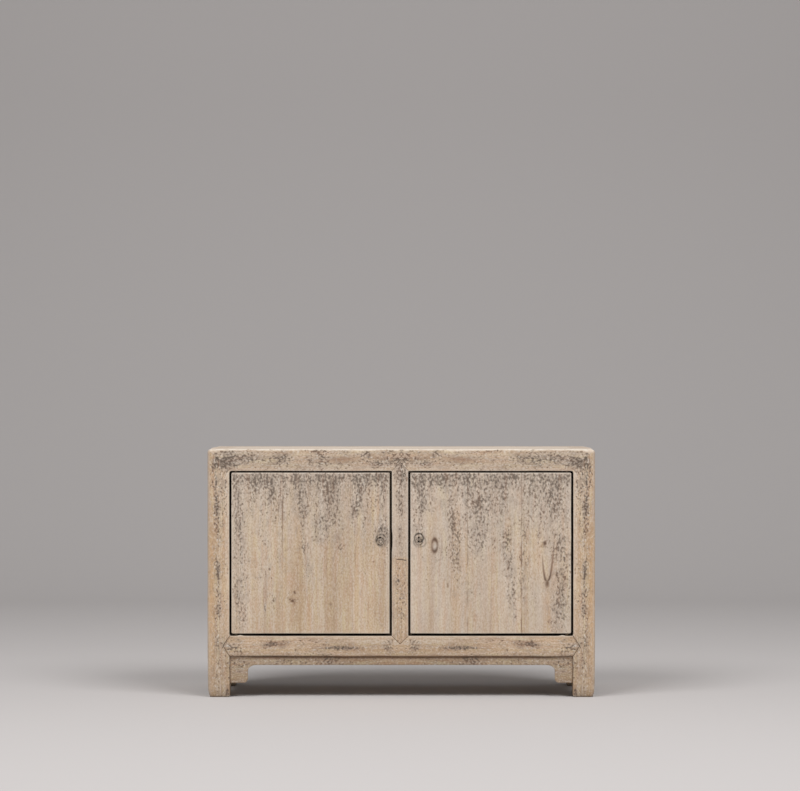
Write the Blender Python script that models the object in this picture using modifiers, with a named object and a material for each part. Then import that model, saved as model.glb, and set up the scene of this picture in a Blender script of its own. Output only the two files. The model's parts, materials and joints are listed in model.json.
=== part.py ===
"""A low two-door sideboard of the flush-faced East Asian kind, in old bleached pine.

Four square posts and four top rails meet in three-way mitres, lower rails with pointed
shoulders tie the posts together, and boards in grooves close the top, sides, back and floor.
Two board doors swing on wooden pins that turn in the top rail and the lower rail.

Lengths are in metres. The front faces -Y, and the origin is on the floor under the middle.
"""

import math

import bmesh
import bpy
from mathutils import Matrix, Vector

# The whole cabinet
WIDTH = 1.250
DEPTH = 0.400
HEIGHT = 0.800

# Frame timbers
POST_SIDE = 0.071            # square posts, and the top rails, which have the same section
LEG_HEIGHT = 0.132           # floor to the underside of the lower rails
LOWER_RAIL_HEIGHT = 0.066
LOWER_RAIL_DEPTH = 0.050
CENTER_STILE_WIDTH = 0.055
CENTER_STILE_DEPTH = 0.045
CENTER_STILE_OFFSET = -0.004  # the stile stands a little left of the middle
REAR_STILE_WIDTH = 0.050
REAR_STILE_DEPTH = 0.032
ARRIS_RADIUS = 0.012         # worn roundness of the cabinet's outer edges

# Joinery of the frame
POINT_DEPTH = 0.018          # thickness of the pointed shoulders, measured in from the face
LOWER_RAIL_POINT = 0.021     # how far a lower rail's point runs into the post
STILE_POINT = 0.027          # how far the centre stile's points run into the rails
TENON_SETBACK = 0.024        # outer face to the near face of a tenon
TENON_THICKNESS = 0.012
TENON_LENGTH = 0.026
RAIL_TENON_HEIGHT = 0.040
STILE_TENON_WIDTH = 0.030
CORNER_TENON_SIDE = 0.018    # square tenon on top of each post, hidden in the mitre
CORNER_TENON_INSET = 0.012   # from the post's inner face towards the next post along the front
CORNER_TENON_OFFSET = 0.004  # how much further it stands from the other inner face
CORNER_TENON_COVER = 0.014   # wood left over its end

# Boards of the sides, back, top and floor
PANEL_RECESS = 0.008         # outer face of the frame to the face of a side or back board
PANEL_THICKNESS = 0.014
TONGUE_THICKNESS = 0.006
TONGUE_LENGTH = 0.008
SIDE_BOARDS = 2
BACK_BOARDS_PER_BAY = 2
TOP_THICKNESS = 0.020
TOP_BOARDS = ("front", "middle", "rear")
TOP_BATTEN_WIDTH = 0.040
TOP_BATTEN_HEIGHT = 0.025
TOP_BATTEN_TENON_LENGTH = 0.010
TOP_BATTEN_SPACING = 0.500
FLOOR_DROP = 0.010           # top of the lower rails to the floor boards' upper face
FLOOR_THICKNESS = 0.016
FLOOR_BOARDS = ("front", "middle", "rear")
POST_NOTCH_EASE = 0.001      # room round a post where a floor board is notched

# Shelf
SHELF_HEIGHT = 0.465         # floor to the shelf's underside
SHELF_THICKNESS = 0.018
SHELF_BOARDS = ("front", "rear")
SHELF_EASE = 0.001
BEARER_WIDTH = 0.028
BEARER_HEIGHT = 0.034
BEARER_TENON_LENGTH = 0.010

# Aprons under the lower rails
APRON_HEIGHT = 0.027
APRON_DROP = 0.086           # rail's underside to the foot of the bracket ends
APRON_END_WIDTH = 0.054      # width of a bracket end that shows beside the post
APRON_THICKNESS = 0.018
APRON_SETBACK = 0.005
APRON_COVE = 0.024           # hollow between the bracket end and the straight part
APRON_TOE = 0.010            # rounded lower corner of the bracket end
APRON_HOUSING = 0.008        # depth that the apron is let into the posts

# Doors
DOOR_THICKNESS = 0.024
DOOR_SETBACK = 0.001
DOOR_SIDE_GAP = 0.005
DOOR_TOP_GAP = 0.0043
DOOR_BOTTOM_GAP = 0.006
LEFT_DOOR_BOARDS = (0.166, 0.226)    # first two board widths from the pins, the third fills the door
RIGHT_DOOR_BOARDS = (0.162, 0.174)
DOOR_BOARD_NAMES = ("pivot", "middle", "meeting")
PIVOT_INSET = 0.015          # door's outer edge to the axis of its pins
PIVOT_DIAMETER = 0.012
PIVOT_IN_DOOR = 0.030
PIVOT_IN_TOP_RAIL = 0.022
PIVOT_IN_LOWER_RAIL = 0.014
DOOR_BATTEN_HEIGHT = 0.040
DOOR_BATTEN_THICKNESS = 0.020
DOOR_BATTEN_HOUSING = 0.006  # depth of the dovetail in the boards
DOOR_BATTEN_NECK = 0.028     # dovetail's width at the boards' face
DOOR_BATTEN_FLARE = 0.036    # and at its bottom
DOOR_BATTEN_INSET = 0.040    # door's edge to the batten's end
DOOR_BATTEN_RISE = 0.085     # door's end to the middle of the batten
STOP_WIDTH = 0.012
STOP_THICKNESS = 0.016
STOP_PEG_RISE = 0.090         # end of a stop to its peg
STOP_PEG_SIDE = 0.004        # the pegs are square
STOP_PEG_LENGTH = 0.024

# Marks of the ring pulls that the doors once had
PULL_INSET = 0.030           # meeting edge to the holes
PULL_HEIGHT = 0.508          # floor to the middle of the pair
PULL_HOLE_SPACING = 0.013
PULL_HOLE_DIAMETER = 0.0045
PULL_PLUG_DIAMETER = 0.010
PULL_PLUG_LENGTH = 0.016

# Working values
FIT = 0.0003                 # gap between pieces that touch
ROOT = 0.006                 # depth that a tenon is rooted in its own piece
SPARE = 0.020                # how far a cutter reaches past what it cuts
TONGUE_EASE = 0.001          # a tongue stops short of its board's corners
WELD_DISTANCE = 0.00002
SMOOTH_ANGLE = math.radians(40)
EMPTY_SIZE = 0.1
ARC_STEPS = 6
ARRIS_STEPS = 4
ROUND_SIDES = 16

# Levels and lines that several pieces share
TOP_RAIL_BOTTOM = HEIGHT - POST_SIDE
LOWER_RAIL_TOP = LEG_HEIGHT + LOWER_RAIL_HEIGHT
LOWER_RAIL_MIDDLE = LEG_HEIGHT + LOWER_RAIL_HEIGHT / 2
INNER_X = WIDTH / 2 - POST_SIDE
INNER_Y = DEPTH / 2 - POST_SIDE
STILE_LEFT = CENTER_STILE_OFFSET - CENTER_STILE_WIDTH / 2
STILE_RIGHT = CENTER_STILE_OFFSET + CENTER_STILE_WIDTH / 2
DOOR_BACK = DOOR_SETBACK + DOOR_THICKNESS
DOOR_BOTTOM = LOWER_RAIL_TOP + DOOR_BOTTOM_GAP
DOOR_TOP = TOP_RAIL_BOTTOM - DOOR_TOP_GAP
STOP_FRONT = DOOR_BACK + FIT

SIDES = ("front", "right", "rear", "left")
SIDE_SPAN = {"front": WIDTH, "rear": WIDTH, "left": DEPTH, "right": DEPTH}
SIDE_REACH = {"front": DEPTH / 2, "rear": DEPTH / 2, "left": WIDTH / 2, "right": WIDTH / 2}
# Post number i stands at the left end of side number i, seen from outside the cabinet
POSTS = ("front_left_post", "front_right_post", "rear_right_post", "rear_left_post")

parts = {}
places = {}


def clear_scene():
    """Empties the file and makes one collection for the pieces and one for their cutters."""
    for item in list(bpy.data.objects):
        bpy.data.objects.remove(item, do_unlink=True)
    for old in list(bpy.data.collections):
        bpy.data.collections.remove(old)
    for name in ("chinese_sideboard", "cutters"):
        collection = bpy.data.collections.new(name)
        bpy.context.scene.collection.children.link(collection)


def wood(name, color, roughness):
    """A plain wood material."""
    material = bpy.data.materials.new(name)
    material.use_nodes = True
    shader = material.node_tree.nodes["Principled BSDF"]
    shader.inputs["Base Color"].default_value = (*color, 1.0)
    shader.inputs["Roughness"].default_value = roughness
    shader.inputs["Metallic"].default_value = 0.0
    return material


def add_empty(name, location, turn=0.0):
    """An empty that carries pieces, turned about Z."""
    empty = bpy.data.objects.new(name, None)
    empty.location = location
    empty.rotation_euler.z = turn
    empty.empty_display_size = EMPTY_SIZE
    bpy.data.collections["chinese_sideboard"].objects.link(empty)
    places[name] = empty
    return empty


def add_piece(name, mesh, place, material, location=(0.0, 0.0, 0.0)):
    """A named piece of the cabinet, placed in the frame of an empty."""
    piece = bpy.data.objects.new(name, mesh)
    piece.parent = places[place]
    piece.location = location
    mesh.materials.append(material)
    bpy.data.collections["chinese_sideboard"].objects.link(piece)
    parts[name] = piece
    return piece


def add_helper(name, mesh, place, location=(0.0, 0.0, 0.0)):
    """A cutter, or a tenon before it is united with its piece, which stays out of the cabinet."""
    helper = bpy.data.objects.new(name, mesh)
    helper.parent = places[place]
    helper.location = location
    helper.hide_render = True
    helper.display_type = "WIRE"
    bpy.data.collections["cutters"].objects.link(helper)
    return helper


def boolean(piece, other, operation):
    """Cuts or unites a piece with another, then closes the hairline splits that the cut can leave."""
    modifier = piece.modifiers.new(other.name, "BOOLEAN")
    modifier.operation = operation
    modifier.solver = "EXACT"
    modifier.object = other
    weld = piece.modifiers.new(f"{other.name}_weld", "WELD")
    weld.merge_threshold = WELD_DISTANCE


def ordered(corner, opposite):
    """The lowest and the highest corner of the box between two corners."""
    low = Vector([min(pair) for pair in zip(corner, opposite)])
    high = Vector([max(pair) for pair in zip(corner, opposite)])
    return low, high


def block_mesh(low, high):
    """A box of the given size round its own middle."""
    mesh = bpy.data.meshes.new("block")
    shape = bmesh.new()
    bmesh.ops.create_cube(shape, size=1.0)
    bmesh.ops.scale(shape, vec=high - low, verts=shape.verts)
    shape.to_mesh(mesh)
    shape.free()
    return mesh


def block(name, corner, opposite, place, material):
    """A plain squared timber between two corners."""
    low, high = ordered(corner, opposite)
    return add_piece(name, block_mesh(low, high), place, material, (low + high) / 2)


def helper_block(name, corner, opposite, place):
    low, high = ordered(corner, opposite)
    return add_helper(name, block_mesh(low, high), place, (low + high) / 2)


def round_mesh(radius, length, turn):
    """A closed cylinder round its own middle, its axis turned from Z by a matrix."""
    mesh = bpy.data.meshes.new("round")
    shape = bmesh.new()
    bmesh.ops.create_cone(shape, cap_ends=True, segments=ROUND_SIDES, radius1=radius, radius2=radius,
                          depth=length, matrix=turn)
    shape.to_mesh(mesh)
    shape.free()
    mesh.shade_smooth()
    mesh.set_sharp_from_angle(angle=SMOOTH_ANGLE)
    return mesh


def prism_mesh(outline, start, end, axis):
    """A flat outline of (across, up) points carried along X or Y from start to end."""
    curve = bpy.data.curves.new("outline", "CURVE")
    curve.dimensions = "2D"
    curve.fill_mode = "BOTH"
    curve.extrude = (end - start) / 2
    spline = curve.splines.new("POLY")
    spline.points.add(len(outline) - 1)
    for point, (across, up) in zip(spline.points, outline):
        point.co = (across, up, 0.0, 1.0)
    spline.use_cyclic_u = True
    holder = bpy.data.objects.new("outline", curve)
    bpy.context.scene.collection.objects.link(holder)
    depsgraph = bpy.context.evaluated_depsgraph_get()
    mesh = bpy.data.meshes.new_from_object(holder.evaluated_get(depsgraph))
    bpy.data.objects.remove(holder, do_unlink=True)

    if axis == "X":
        stand = Matrix(((0, 0, 1), (1, 0, 0), (0, 1, 0))).to_4x4()
        slide = Matrix.Translation(((start + end) / 2, 0, 0))
    else:
        stand = Matrix(((1, 0, 0), (0, 0, -1), (0, 1, 0))).to_4x4()
        slide = Matrix.Translation((0, (start + end) / 2, 0))
    mesh.transform(slide @ stand)
    shape = bmesh.new()
    shape.from_mesh(mesh)
    bmesh.ops.remove_doubles(shape, verts=shape.verts, dist=WELD_DISTANCE)
    bmesh.ops.recalc_face_normals(shape, faces=shape.faces)
    shape.to_mesh(mesh)
    shape.free()
    return mesh


def slice_mesh(mesh, point, normal):
    """Takes away what lies on the side that the normal points to, and closes the cut."""
    shape = bmesh.new()
    shape.from_mesh(mesh)
    everything = shape.verts[:] + shape.edges[:] + shape.faces[:]
    cut = bmesh.ops.bisect_plane(shape, geom=everything, dist=WELD_DISTANCE, plane_co=point,
                                 plane_no=normal, clear_outer=True)
    rim = [item for item in cut["geom_cut"] if isinstance(item, bmesh.types.BMEdge)]
    bmesh.ops.edgeloop_fill(shape, edges=rim)
    shape.to_mesh(mesh)
    shape.free()


def arc(center, radius, first, last):
    """Points on an arc between two angles in degrees."""
    steps = [first + (last - first) * i / ARC_STEPS for i in range(ARC_STEPS + 1)]
    turns = [math.radians(step) for step in steps]
    return [(center[0] + radius * math.cos(t), center[1] + radius * math.sin(t)) for t in turns]


def unite_block(piece, corner, opposite, place):
    """Adds a tenon or a tongue to its piece."""
    boolean(piece, helper_block(f"{piece.name}_tenon", corner, opposite, place), "UNION")


def cut_block(receivers, name, corner, opposite, place):
    """Cuts one box out of each receiver."""
    cutter = helper_block(name, corner, opposite, place)
    for receiver in receivers:
        boolean(receiver, cutter, "DIFFERENCE")


def tenon(piece, receiver, corner, opposite, place):
    """Adds a tenon to a piece and cuts its mortise, larger by the fit, in the receiver."""
    low, high = ordered(corner, opposite)
    ease = Vector((FIT, FIT, FIT))
    unite_block(piece, low, high, place)
    cut_block([receiver], f"{piece.name}_mortise", low - ease, high + ease, place)


def inner_half(side):
    """Half the clear length between the posts of a side."""
    return SIDE_SPAN[side] / 2 - POST_SIDE


def end_post(side, hand):
    """The post at one end of a side: hand is -1 at its left end and 1 at its right end."""
    number = SIDES.index(side)
    return parts[POSTS[number] if hand < 0 else POSTS[(number + 1) % 4]]


def make_places():
    """An empty on the middle of each outer face, X to the right and Y going inwards."""
    add_empty("sideboard", (0.0, 0.0, 0.0))
    quarter = math.pi / 2
    for number, side in enumerate(SIDES):
        outwards = Matrix.Rotation(number * quarter, 3, "Z") @ Vector((0.0, -1.0, 0.0))
        add_empty(f"{side}_side", outwards * SIDE_REACH[side], number * quarter)


def make_envelope():
    """The cabinet's outer box with worn arrises, which trims the timbers that show outside."""
    low, high = ordered((-WIDTH / 2, -DEPTH / 2, -SPARE), (WIDTH / 2, DEPTH / 2, HEIGHT))
    envelope = add_helper("worn_envelope", block_mesh(low, high), "sideboard", (low + high) / 2)
    bevel = envelope.modifiers.new("worn_arrises", "BEVEL")
    bevel.width = ARRIS_RADIUS
    bevel.segments = ARRIS_STEPS
    bevel.limit_method = "NONE"
    return envelope


def make_posts(envelope, material):
    """Square posts that run to the floor, with two mitre faces and a hidden tenon on top."""
    for number, name in enumerate(POSTS):
        right = 1 if number in (1, 2) else -1
        back = 1 if number in (2, 3) else -1
        outer = (right * (WIDTH / 2 + SPARE), back * (DEPTH / 2 + SPARE), 0.0)
        inner = (right * INNER_X, back * INNER_Y, HEIGHT + SPARE)
        low, high = ordered(outer, inner)
        middle = (low + high) / 2
        mesh = block_mesh(low, high)
        peak = Vector((right * WIDTH / 2, back * DEPTH / 2, HEIGHT)) - middle
        for normal in (Vector((-right, 0, 1)).normalized(), Vector((0, -back, 1)).normalized()):
            slice_mesh(mesh, peak - normal * FIT / 2, normal)
        boolean(add_piece(name, mesh, "sideboard", material, middle), envelope, "INTERSECT")


def make_top_rails(envelope, material):
    """Four top rails, each cut at both ends by the mitres to the post and to the next rail."""
    for side in SIDES:
        half = SIDE_SPAN[side] / 2
        low, high = ordered((-half - SPARE, -SPARE, TOP_RAIL_BOTTOM),
                            (half + SPARE, POST_SIDE, HEIGHT + SPARE))
        middle = (low + high) / 2
        mesh = block_mesh(low, high)
        for hand in (-1, 1):
            peak = Vector((hand * half, 0.0, HEIGHT)) - middle
            for normal in (Vector((hand, 1, 0)).normalized(), Vector((hand, 0, -1)).normalized()):
                slice_mesh(mesh, peak - normal * FIT / 2, normal)
        rail = add_piece(f"top_{side}_rail", mesh, f"{side}_side", material, middle)
        boolean(rail, envelope, "INTERSECT")


def join_top_corners():
    """The square tenon on each post, which locks the two top rails above it."""
    near = CORNER_TENON_INSET
    far = CORNER_TENON_INSET + CORNER_TENON_SIDE
    ease = Vector((FIT, FIT, FIT))
    for number, name in enumerate(POSTS):
        right = 1 if number in (1, 2) else -1
        back = 1 if number in (2, 3) else -1
        low, high = ordered(
            (right * (INNER_X + near), back * (INNER_Y + near + CORNER_TENON_OFFSET),
             TOP_RAIL_BOTTOM + near - ROOT),
            (right * (INNER_X + far), back * (INNER_Y + far + CORNER_TENON_OFFSET),
             HEIGHT - CORNER_TENON_COVER))
        unite_block(parts[name], low, high, "sideboard")
        rails = [parts[f"top_{SIDES[number]}_rail"], parts[f"top_{SIDES[number - 1]}_rail"]]
        cut_block(rails, f"{name}_corner_mortise", low - ease, high + ease, "sideboard")


def grown_point(reach, half):
    """Reach and half width of a point's notch, whose flanks stand off by the fit."""
    growth = 1 + FIT * math.hypot(reach, half) / (reach * half)
    return reach * growth, half * growth


def make_lower_rails(envelope, material):
    """Lower rails tenoned into the posts. All but the rear one run into the post's face in a point."""
    for side in SIDES:
        place = f"{side}_side"
        length = inner_half(side) - FIT
        point = 0.0 if side == "rear" else LOWER_RAIL_POINT
        outline = [(-length, LEG_HEIGHT), (length, LEG_HEIGHT)]
        if point:
            outline.append((length + point, LOWER_RAIL_MIDDLE))
        outline += [(length, LOWER_RAIL_TOP), (-length, LOWER_RAIL_TOP)]
        if point:
            outline.append((-length - point, LOWER_RAIL_MIDDLE))
        mesh = prism_mesh(outline, -SPARE, LOWER_RAIL_DEPTH, "Y")
        rail = add_piece(f"lower_{side}_rail", mesh, place, material)
        boolean(rail, envelope, "INTERSECT")
        for hand in (-1, 1):
            post = end_post(side, hand)
            if point:
                cut_block([rail], f"{rail.name}_shoulder",
                          (hand * length, POINT_DEPTH, LEG_HEIGHT - SPARE),
                          (hand * (length + point + SPARE), LOWER_RAIL_DEPTH + SPARE,
                           LOWER_RAIL_TOP + SPARE), place)
                reach, half = grown_point(point, LOWER_RAIL_HEIGHT / 2)
                notch = [(hand * (length + reach), LOWER_RAIL_MIDDLE),
                         (hand * length, LOWER_RAIL_MIDDLE + half),
                         (hand * (length - SPARE), LOWER_RAIL_MIDDLE + half),
                         (hand * (length - SPARE), LOWER_RAIL_MIDDLE - half),
                         (hand * length, LOWER_RAIL_MIDDLE - half)]
                cutter = add_helper(f"{rail.name}_notch",
                                    prism_mesh(notch, -SPARE, POINT_DEPTH + FIT, "Y"), place)
                boolean(post, cutter, "DIFFERENCE")
            tenon(rail, post,
                  (hand * (length - ROOT), TENON_SETBACK, LOWER_RAIL_MIDDLE - RAIL_TENON_HEIGHT / 2),
                  (hand * (length + TENON_LENGTH), TENON_SETBACK + TENON_THICKNESS,
                   LOWER_RAIL_MIDDLE + RAIL_TENON_HEIGHT / 2), place)


def make_center_stile(envelope, material):
    """The stile between the doors, pointed and tenoned into the rails above and below it."""
    bottom = LOWER_RAIL_TOP + FIT
    top = TOP_RAIL_BOTTOM - FIT
    outline = [(STILE_LEFT, bottom), (CENTER_STILE_OFFSET, bottom - STILE_POINT), (STILE_RIGHT, bottom),
               (STILE_RIGHT, top), (CENTER_STILE_OFFSET, top + STILE_POINT), (STILE_LEFT, top)]
    stile = add_piece("center_stile", prism_mesh(outline, -SPARE, CENTER_STILE_DEPTH, "Y"),
                      "front_side", material)
    boolean(stile, envelope, "INTERSECT")
    reach, half = grown_point(STILE_POINT, CENTER_STILE_WIDTH / 2)
    for rail, level, up in ((parts["lower_front_rail"], bottom, -1), (parts["top_front_rail"], top, 1)):
        cut_block([stile], f"{rail.name}_stile_shoulder", (STILE_LEFT - SPARE, POINT_DEPTH, level),
                  (STILE_RIGHT + SPARE, CENTER_STILE_DEPTH + SPARE, level + up * (STILE_POINT + SPARE)),
                  "front_side")
        notch = [(CENTER_STILE_OFFSET, level + up * reach), (CENTER_STILE_OFFSET + half, level),
                 (CENTER_STILE_OFFSET + half, level - up * SPARE),
                 (CENTER_STILE_OFFSET - half, level - up * SPARE), (CENTER_STILE_OFFSET - half, level)]
        cutter = add_helper(f"{rail.name}_stile_notch", prism_mesh(notch, -SPARE, POINT_DEPTH + FIT, "Y"),
                            "front_side")
        boolean(rail, cutter, "DIFFERENCE")
        tenon(stile, rail,
              (CENTER_STILE_OFFSET - STILE_TENON_WIDTH / 2, TENON_SETBACK, level - up * ROOT),
              (CENTER_STILE_OFFSET + STILE_TENON_WIDTH / 2, TENON_SETBACK + TENON_THICKNESS,
               level + up * TENON_LENGTH), "front_side")


def make_rear_stile(material):
    """A plain stile in the middle of the back."""
    middle = -CENTER_STILE_OFFSET
    bottom = LOWER_RAIL_TOP + FIT
    top = TOP_RAIL_BOTTOM - FIT
    stile = block("rear_stile", (middle - REAR_STILE_WIDTH / 2, 0.0, bottom),
                  (middle + REAR_STILE_WIDTH / 2, REAR_STILE_DEPTH, top), "rear_side", material)
    setback = (REAR_STILE_DEPTH - TENON_THICKNESS) / 2
    for rail, level, up in ((parts["lower_rear_rail"], bottom, -1), (parts["top_rear_rail"], top, 1)):
        tenon(stile, rail, (middle - STILE_TENON_WIDTH / 2, setback, level - up * ROOT),
              (middle + STILE_TENON_WIDTH / 2, setback + TENON_THICKNESS, level + up * TENON_LENGTH),
              "rear_side")


def spread(start, end, count):
    """The two edges of each of a number of equal boards, a fit apart and a fit from the ends."""
    width = (end - start) / count
    return [(start + i * width + FIT, start + (i + 1) * width - FIT) for i in range(count)]


def panel_bay(side, names, left, right, left_piece, right_piece, material):
    """Upright boards between two uprights, tongued into them and into the rails above and below."""
    place = f"{side}_side"
    rails = ((parts[f"lower_{side}_rail"], LOWER_RAIL_TOP, -1),
             (parts[f"top_{side}_rail"], TOP_RAIL_BOTTOM, 1))
    near = PANEL_RECESS + (PANEL_THICKNESS - TONGUE_THICKNESS) / 2
    far = near + TONGUE_THICKNESS
    bottom = LOWER_RAIL_TOP + FIT
    top = TOP_RAIL_BOTTOM - FIT
    for name, (start, end) in zip(names, spread(left, right, len(names))):
        board = block(name, (start, PANEL_RECESS, bottom), (end, PANEL_RECESS + PANEL_THICKNESS, top),
                      place, material)
        for rail, level, up in rails:
            unite_block(board, (start + TONGUE_EASE, near, level - up * ROOT),
                        (end - TONGUE_EASE, far, level + up * TONGUE_LENGTH), place)
        if name == names[0]:
            unite_block(board, (left - TONGUE_LENGTH, near, bottom + TONGUE_EASE),
                        (left + ROOT, far, top - TONGUE_EASE), place)
        if name == names[-1]:
            unite_block(board, (right - ROOT, near, bottom + TONGUE_EASE),
                        (right + TONGUE_LENGTH, far, top - TONGUE_EASE), place)
    groove = TONGUE_LENGTH + FIT
    for rail, level, up in rails:
        cut_block([rail], f"{rail.name}_panel_groove", (left, near - FIT, level - up * SPARE),
                  (right, far + FIT, level + up * groove), place)
    for upright, edge, hand in ((left_piece, left, -1), (right_piece, right, 1)):
        cut_block([upright], f"{upright.name}_panel_groove",
                  (edge - hand * SPARE, near - FIT, LOWER_RAIL_TOP),
                  (edge + hand * groove, far + FIT, TOP_RAIL_BOTTOM), place)


def make_side_and_back_boards(material):
    for side in ("left", "right"):
        half = inner_half(side)
        names = [f"{side}_side_board_{i + 1}" for i in range(SIDE_BOARDS)]
        panel_bay(side, names, -half, half, end_post(side, -1), end_post(side, 1), material)
    half = inner_half("rear")
    stile = parts["rear_stile"]
    stile_start = -CENTER_STILE_OFFSET - REAR_STILE_WIDTH / 2
    names = [f"back_board_{i + 1}" for i in range(2 * BACK_BOARDS_PER_BAY)]
    panel_bay("rear", names[:BACK_BOARDS_PER_BAY], -half, stile_start, end_post("rear", -1), stile, material)
    panel_bay("rear", names[BACK_BOARDS_PER_BAY:], stile_start + REAR_STILE_WIDTH, half, stile,
              end_post("rear", 1), material)


def make_top_boards(material):
    """Long boards let into the top frame, flush with it, over two cross battens."""
    bottom = HEIGHT - TOP_THICKNESS
    tongue_low = bottom + (TOP_THICKNESS - TONGUE_THICKNESS) / 2
    tongue_high = tongue_low + TONGUE_THICKNESS
    for name, (near, far) in zip(TOP_BOARDS, spread(-INNER_Y, INNER_Y, len(TOP_BOARDS))):
        board = block(f"top_board_{name}", (-INNER_X + FIT, near, bottom), (INNER_X - FIT, far, HEIGHT),
                      "sideboard", material)
        for hand in (-1, 1):
            unite_block(board, (hand * (INNER_X - ROOT), near + TONGUE_EASE, tongue_low),
                        (hand * (INNER_X + TONGUE_LENGTH), far - TONGUE_EASE, tongue_high), "sideboard")
    for name, back in ((TOP_BOARDS[0], -1), (TOP_BOARDS[-1], 1)):
        unite_block(parts[f"top_board_{name}"],
                    (-INNER_X + FIT + TONGUE_EASE, back * (INNER_Y - ROOT), tongue_low),
                    (INNER_X - FIT - TONGUE_EASE, back * (INNER_Y + TONGUE_LENGTH), tongue_high), "sideboard")
    groove = TONGUE_LENGTH + FIT
    for side in SIDES:
        cut_block([parts[f"top_{side}_rail"]], f"top_{side}_rail_groove",
                  (-inner_half(side), POST_SIDE - groove, tongue_low - FIT),
                  (inner_half(side), POST_SIDE + SPARE, tongue_high + FIT), f"{side}_side")

    top = bottom - FIT
    for name, hand in (("left", -1), ("right", 1)):
        middle = hand * TOP_BATTEN_SPACING / 2
        batten = block(f"top_batten_{name}",
                       (middle - TOP_BATTEN_WIDTH / 2, -INNER_Y + FIT, top - TOP_BATTEN_HEIGHT),
                       (middle + TOP_BATTEN_WIDTH / 2, INNER_Y - FIT, top), "sideboard", material)
        for side, back in (("front", -1), ("rear", 1)):
            tenon(batten, parts[f"top_{side}_rail"],
                  (middle - TOP_BATTEN_WIDTH / 4, back * (INNER_Y - ROOT), top - TOP_BATTEN_HEIGHT * 3 / 4),
                  (middle + TOP_BATTEN_WIDTH / 4, back * (INNER_Y + TOP_BATTEN_TENON_LENGTH),
                   top - TOP_BATTEN_HEIGHT / 4), "sideboard")


def make_floor_boards(material):
    """Long boards tongued into the lower rails and notched round the posts."""
    top = LOWER_RAIL_TOP - FLOOR_DROP
    bottom = top - FLOOR_THICKNESS
    tongue_low = bottom + (FLOOR_THICKNESS - TONGUE_THICKNESS) / 2
    tongue_high = tongue_low + TONGUE_THICKNESS
    end = WIDTH / 2 - LOWER_RAIL_DEPTH
    edge = DEPTH / 2 - LOWER_RAIL_DEPTH
    clear_x = INNER_X - POST_NOTCH_EASE - TONGUE_EASE
    clear_y = INNER_Y - POST_NOTCH_EASE - TONGUE_EASE
    boards = []
    for name, (near, far) in zip(FLOOR_BOARDS, spread(-edge, edge, len(FLOOR_BOARDS))):
        board = block(f"floor_board_{name}", (-end + FIT, near, bottom), (end - FIT, far, top),
                      "sideboard", material)
        for hand in (-1, 1):
            unite_block(board, (hand * (end - ROOT), max(near + TONGUE_EASE, -clear_y), tongue_low),
                        (hand * (end + TONGUE_LENGTH), min(far - TONGUE_EASE, clear_y), tongue_high),
                        "sideboard")
        boards.append(board)
    for board, back in ((boards[0], -1), (boards[-1], 1)):
        unite_block(board, (-clear_x, back * (edge - ROOT), tongue_low),
                    (clear_x, back * (edge + TONGUE_LENGTH), tongue_high), "sideboard")
        for hand in (-1, 1):
            cut_block([board], f"{board.name}_post_notch",
                      (hand * (INNER_X - POST_NOTCH_EASE), back * (INNER_Y - POST_NOTCH_EASE),
                       bottom - SPARE),
                      (hand * WIDTH / 2, back * DEPTH / 2, top + SPARE), "sideboard")
    for side in SIDES:
        cut_block([parts[f"lower_{side}_rail"]], f"lower_{side}_rail_groove",
                  (-inner_half(side) - SPARE, LOWER_RAIL_DEPTH - TONGUE_LENGTH - FIT, tongue_low - FIT),
                  (inner_half(side) + SPARE, LOWER_RAIL_DEPTH + SPARE, tongue_high + FIT), f"{side}_side")


def make_shelf(material):
    """Two loose boards on three bearers, which are tenoned into the posts and the stiles."""
    top = SHELF_HEIGHT - FIT
    bottom = top - BEARER_HEIGHT
    tenon_low = bottom + BEARER_HEIGHT / 4
    tenon_high = top - BEARER_HEIGHT / 4
    for side in ("left", "right"):
        place = f"{side}_side"
        near = PANEL_RECESS + PANEL_THICKNESS + FIT
        half = inner_half(side)
        bearer = block(f"shelf_bearer_{side}", (-half + FIT, near, bottom),
                       (half - FIT, near + BEARER_WIDTH, top), place, material)
        for hand in (-1, 1):
            tenon(bearer, end_post(side, hand), (hand * (half - ROOT), near + BEARER_WIDTH / 4, tenon_low),
                  (hand * (half + BEARER_TENON_LENGTH), near + BEARER_WIDTH * 3 / 4, tenon_high), place)

    middle = CENTER_STILE_OFFSET
    front = -DEPTH / 2 + CENTER_STILE_DEPTH
    rear = DEPTH / 2 - REAR_STILE_DEPTH
    bearer = block("shelf_bearer_middle", (middle - BEARER_WIDTH / 2, front + FIT, bottom),
                   (middle + BEARER_WIDTH / 2, rear - FIT, top), "sideboard", material)
    for stile, face, back in ((parts["center_stile"], front, -1), (parts["rear_stile"], rear, 1)):
        tenon(bearer, stile, (middle - BEARER_WIDTH / 4, face - back * ROOT, tenon_low),
              (middle + BEARER_WIDTH / 4, face + back * BEARER_TENON_LENGTH, tenon_high), "sideboard")

    end = WIDTH / 2 - PANEL_RECESS - PANEL_THICKNESS - SHELF_EASE
    edge = INNER_Y - SHELF_EASE
    for name, (near, far) in zip(SHELF_BOARDS, spread(-edge, edge, len(SHELF_BOARDS))):
        block(f"shelf_board_{name}", (-end, near, SHELF_HEIGHT), (end, far, SHELF_HEIGHT + SHELF_THICKNESS),
              "sideboard", material)


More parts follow.
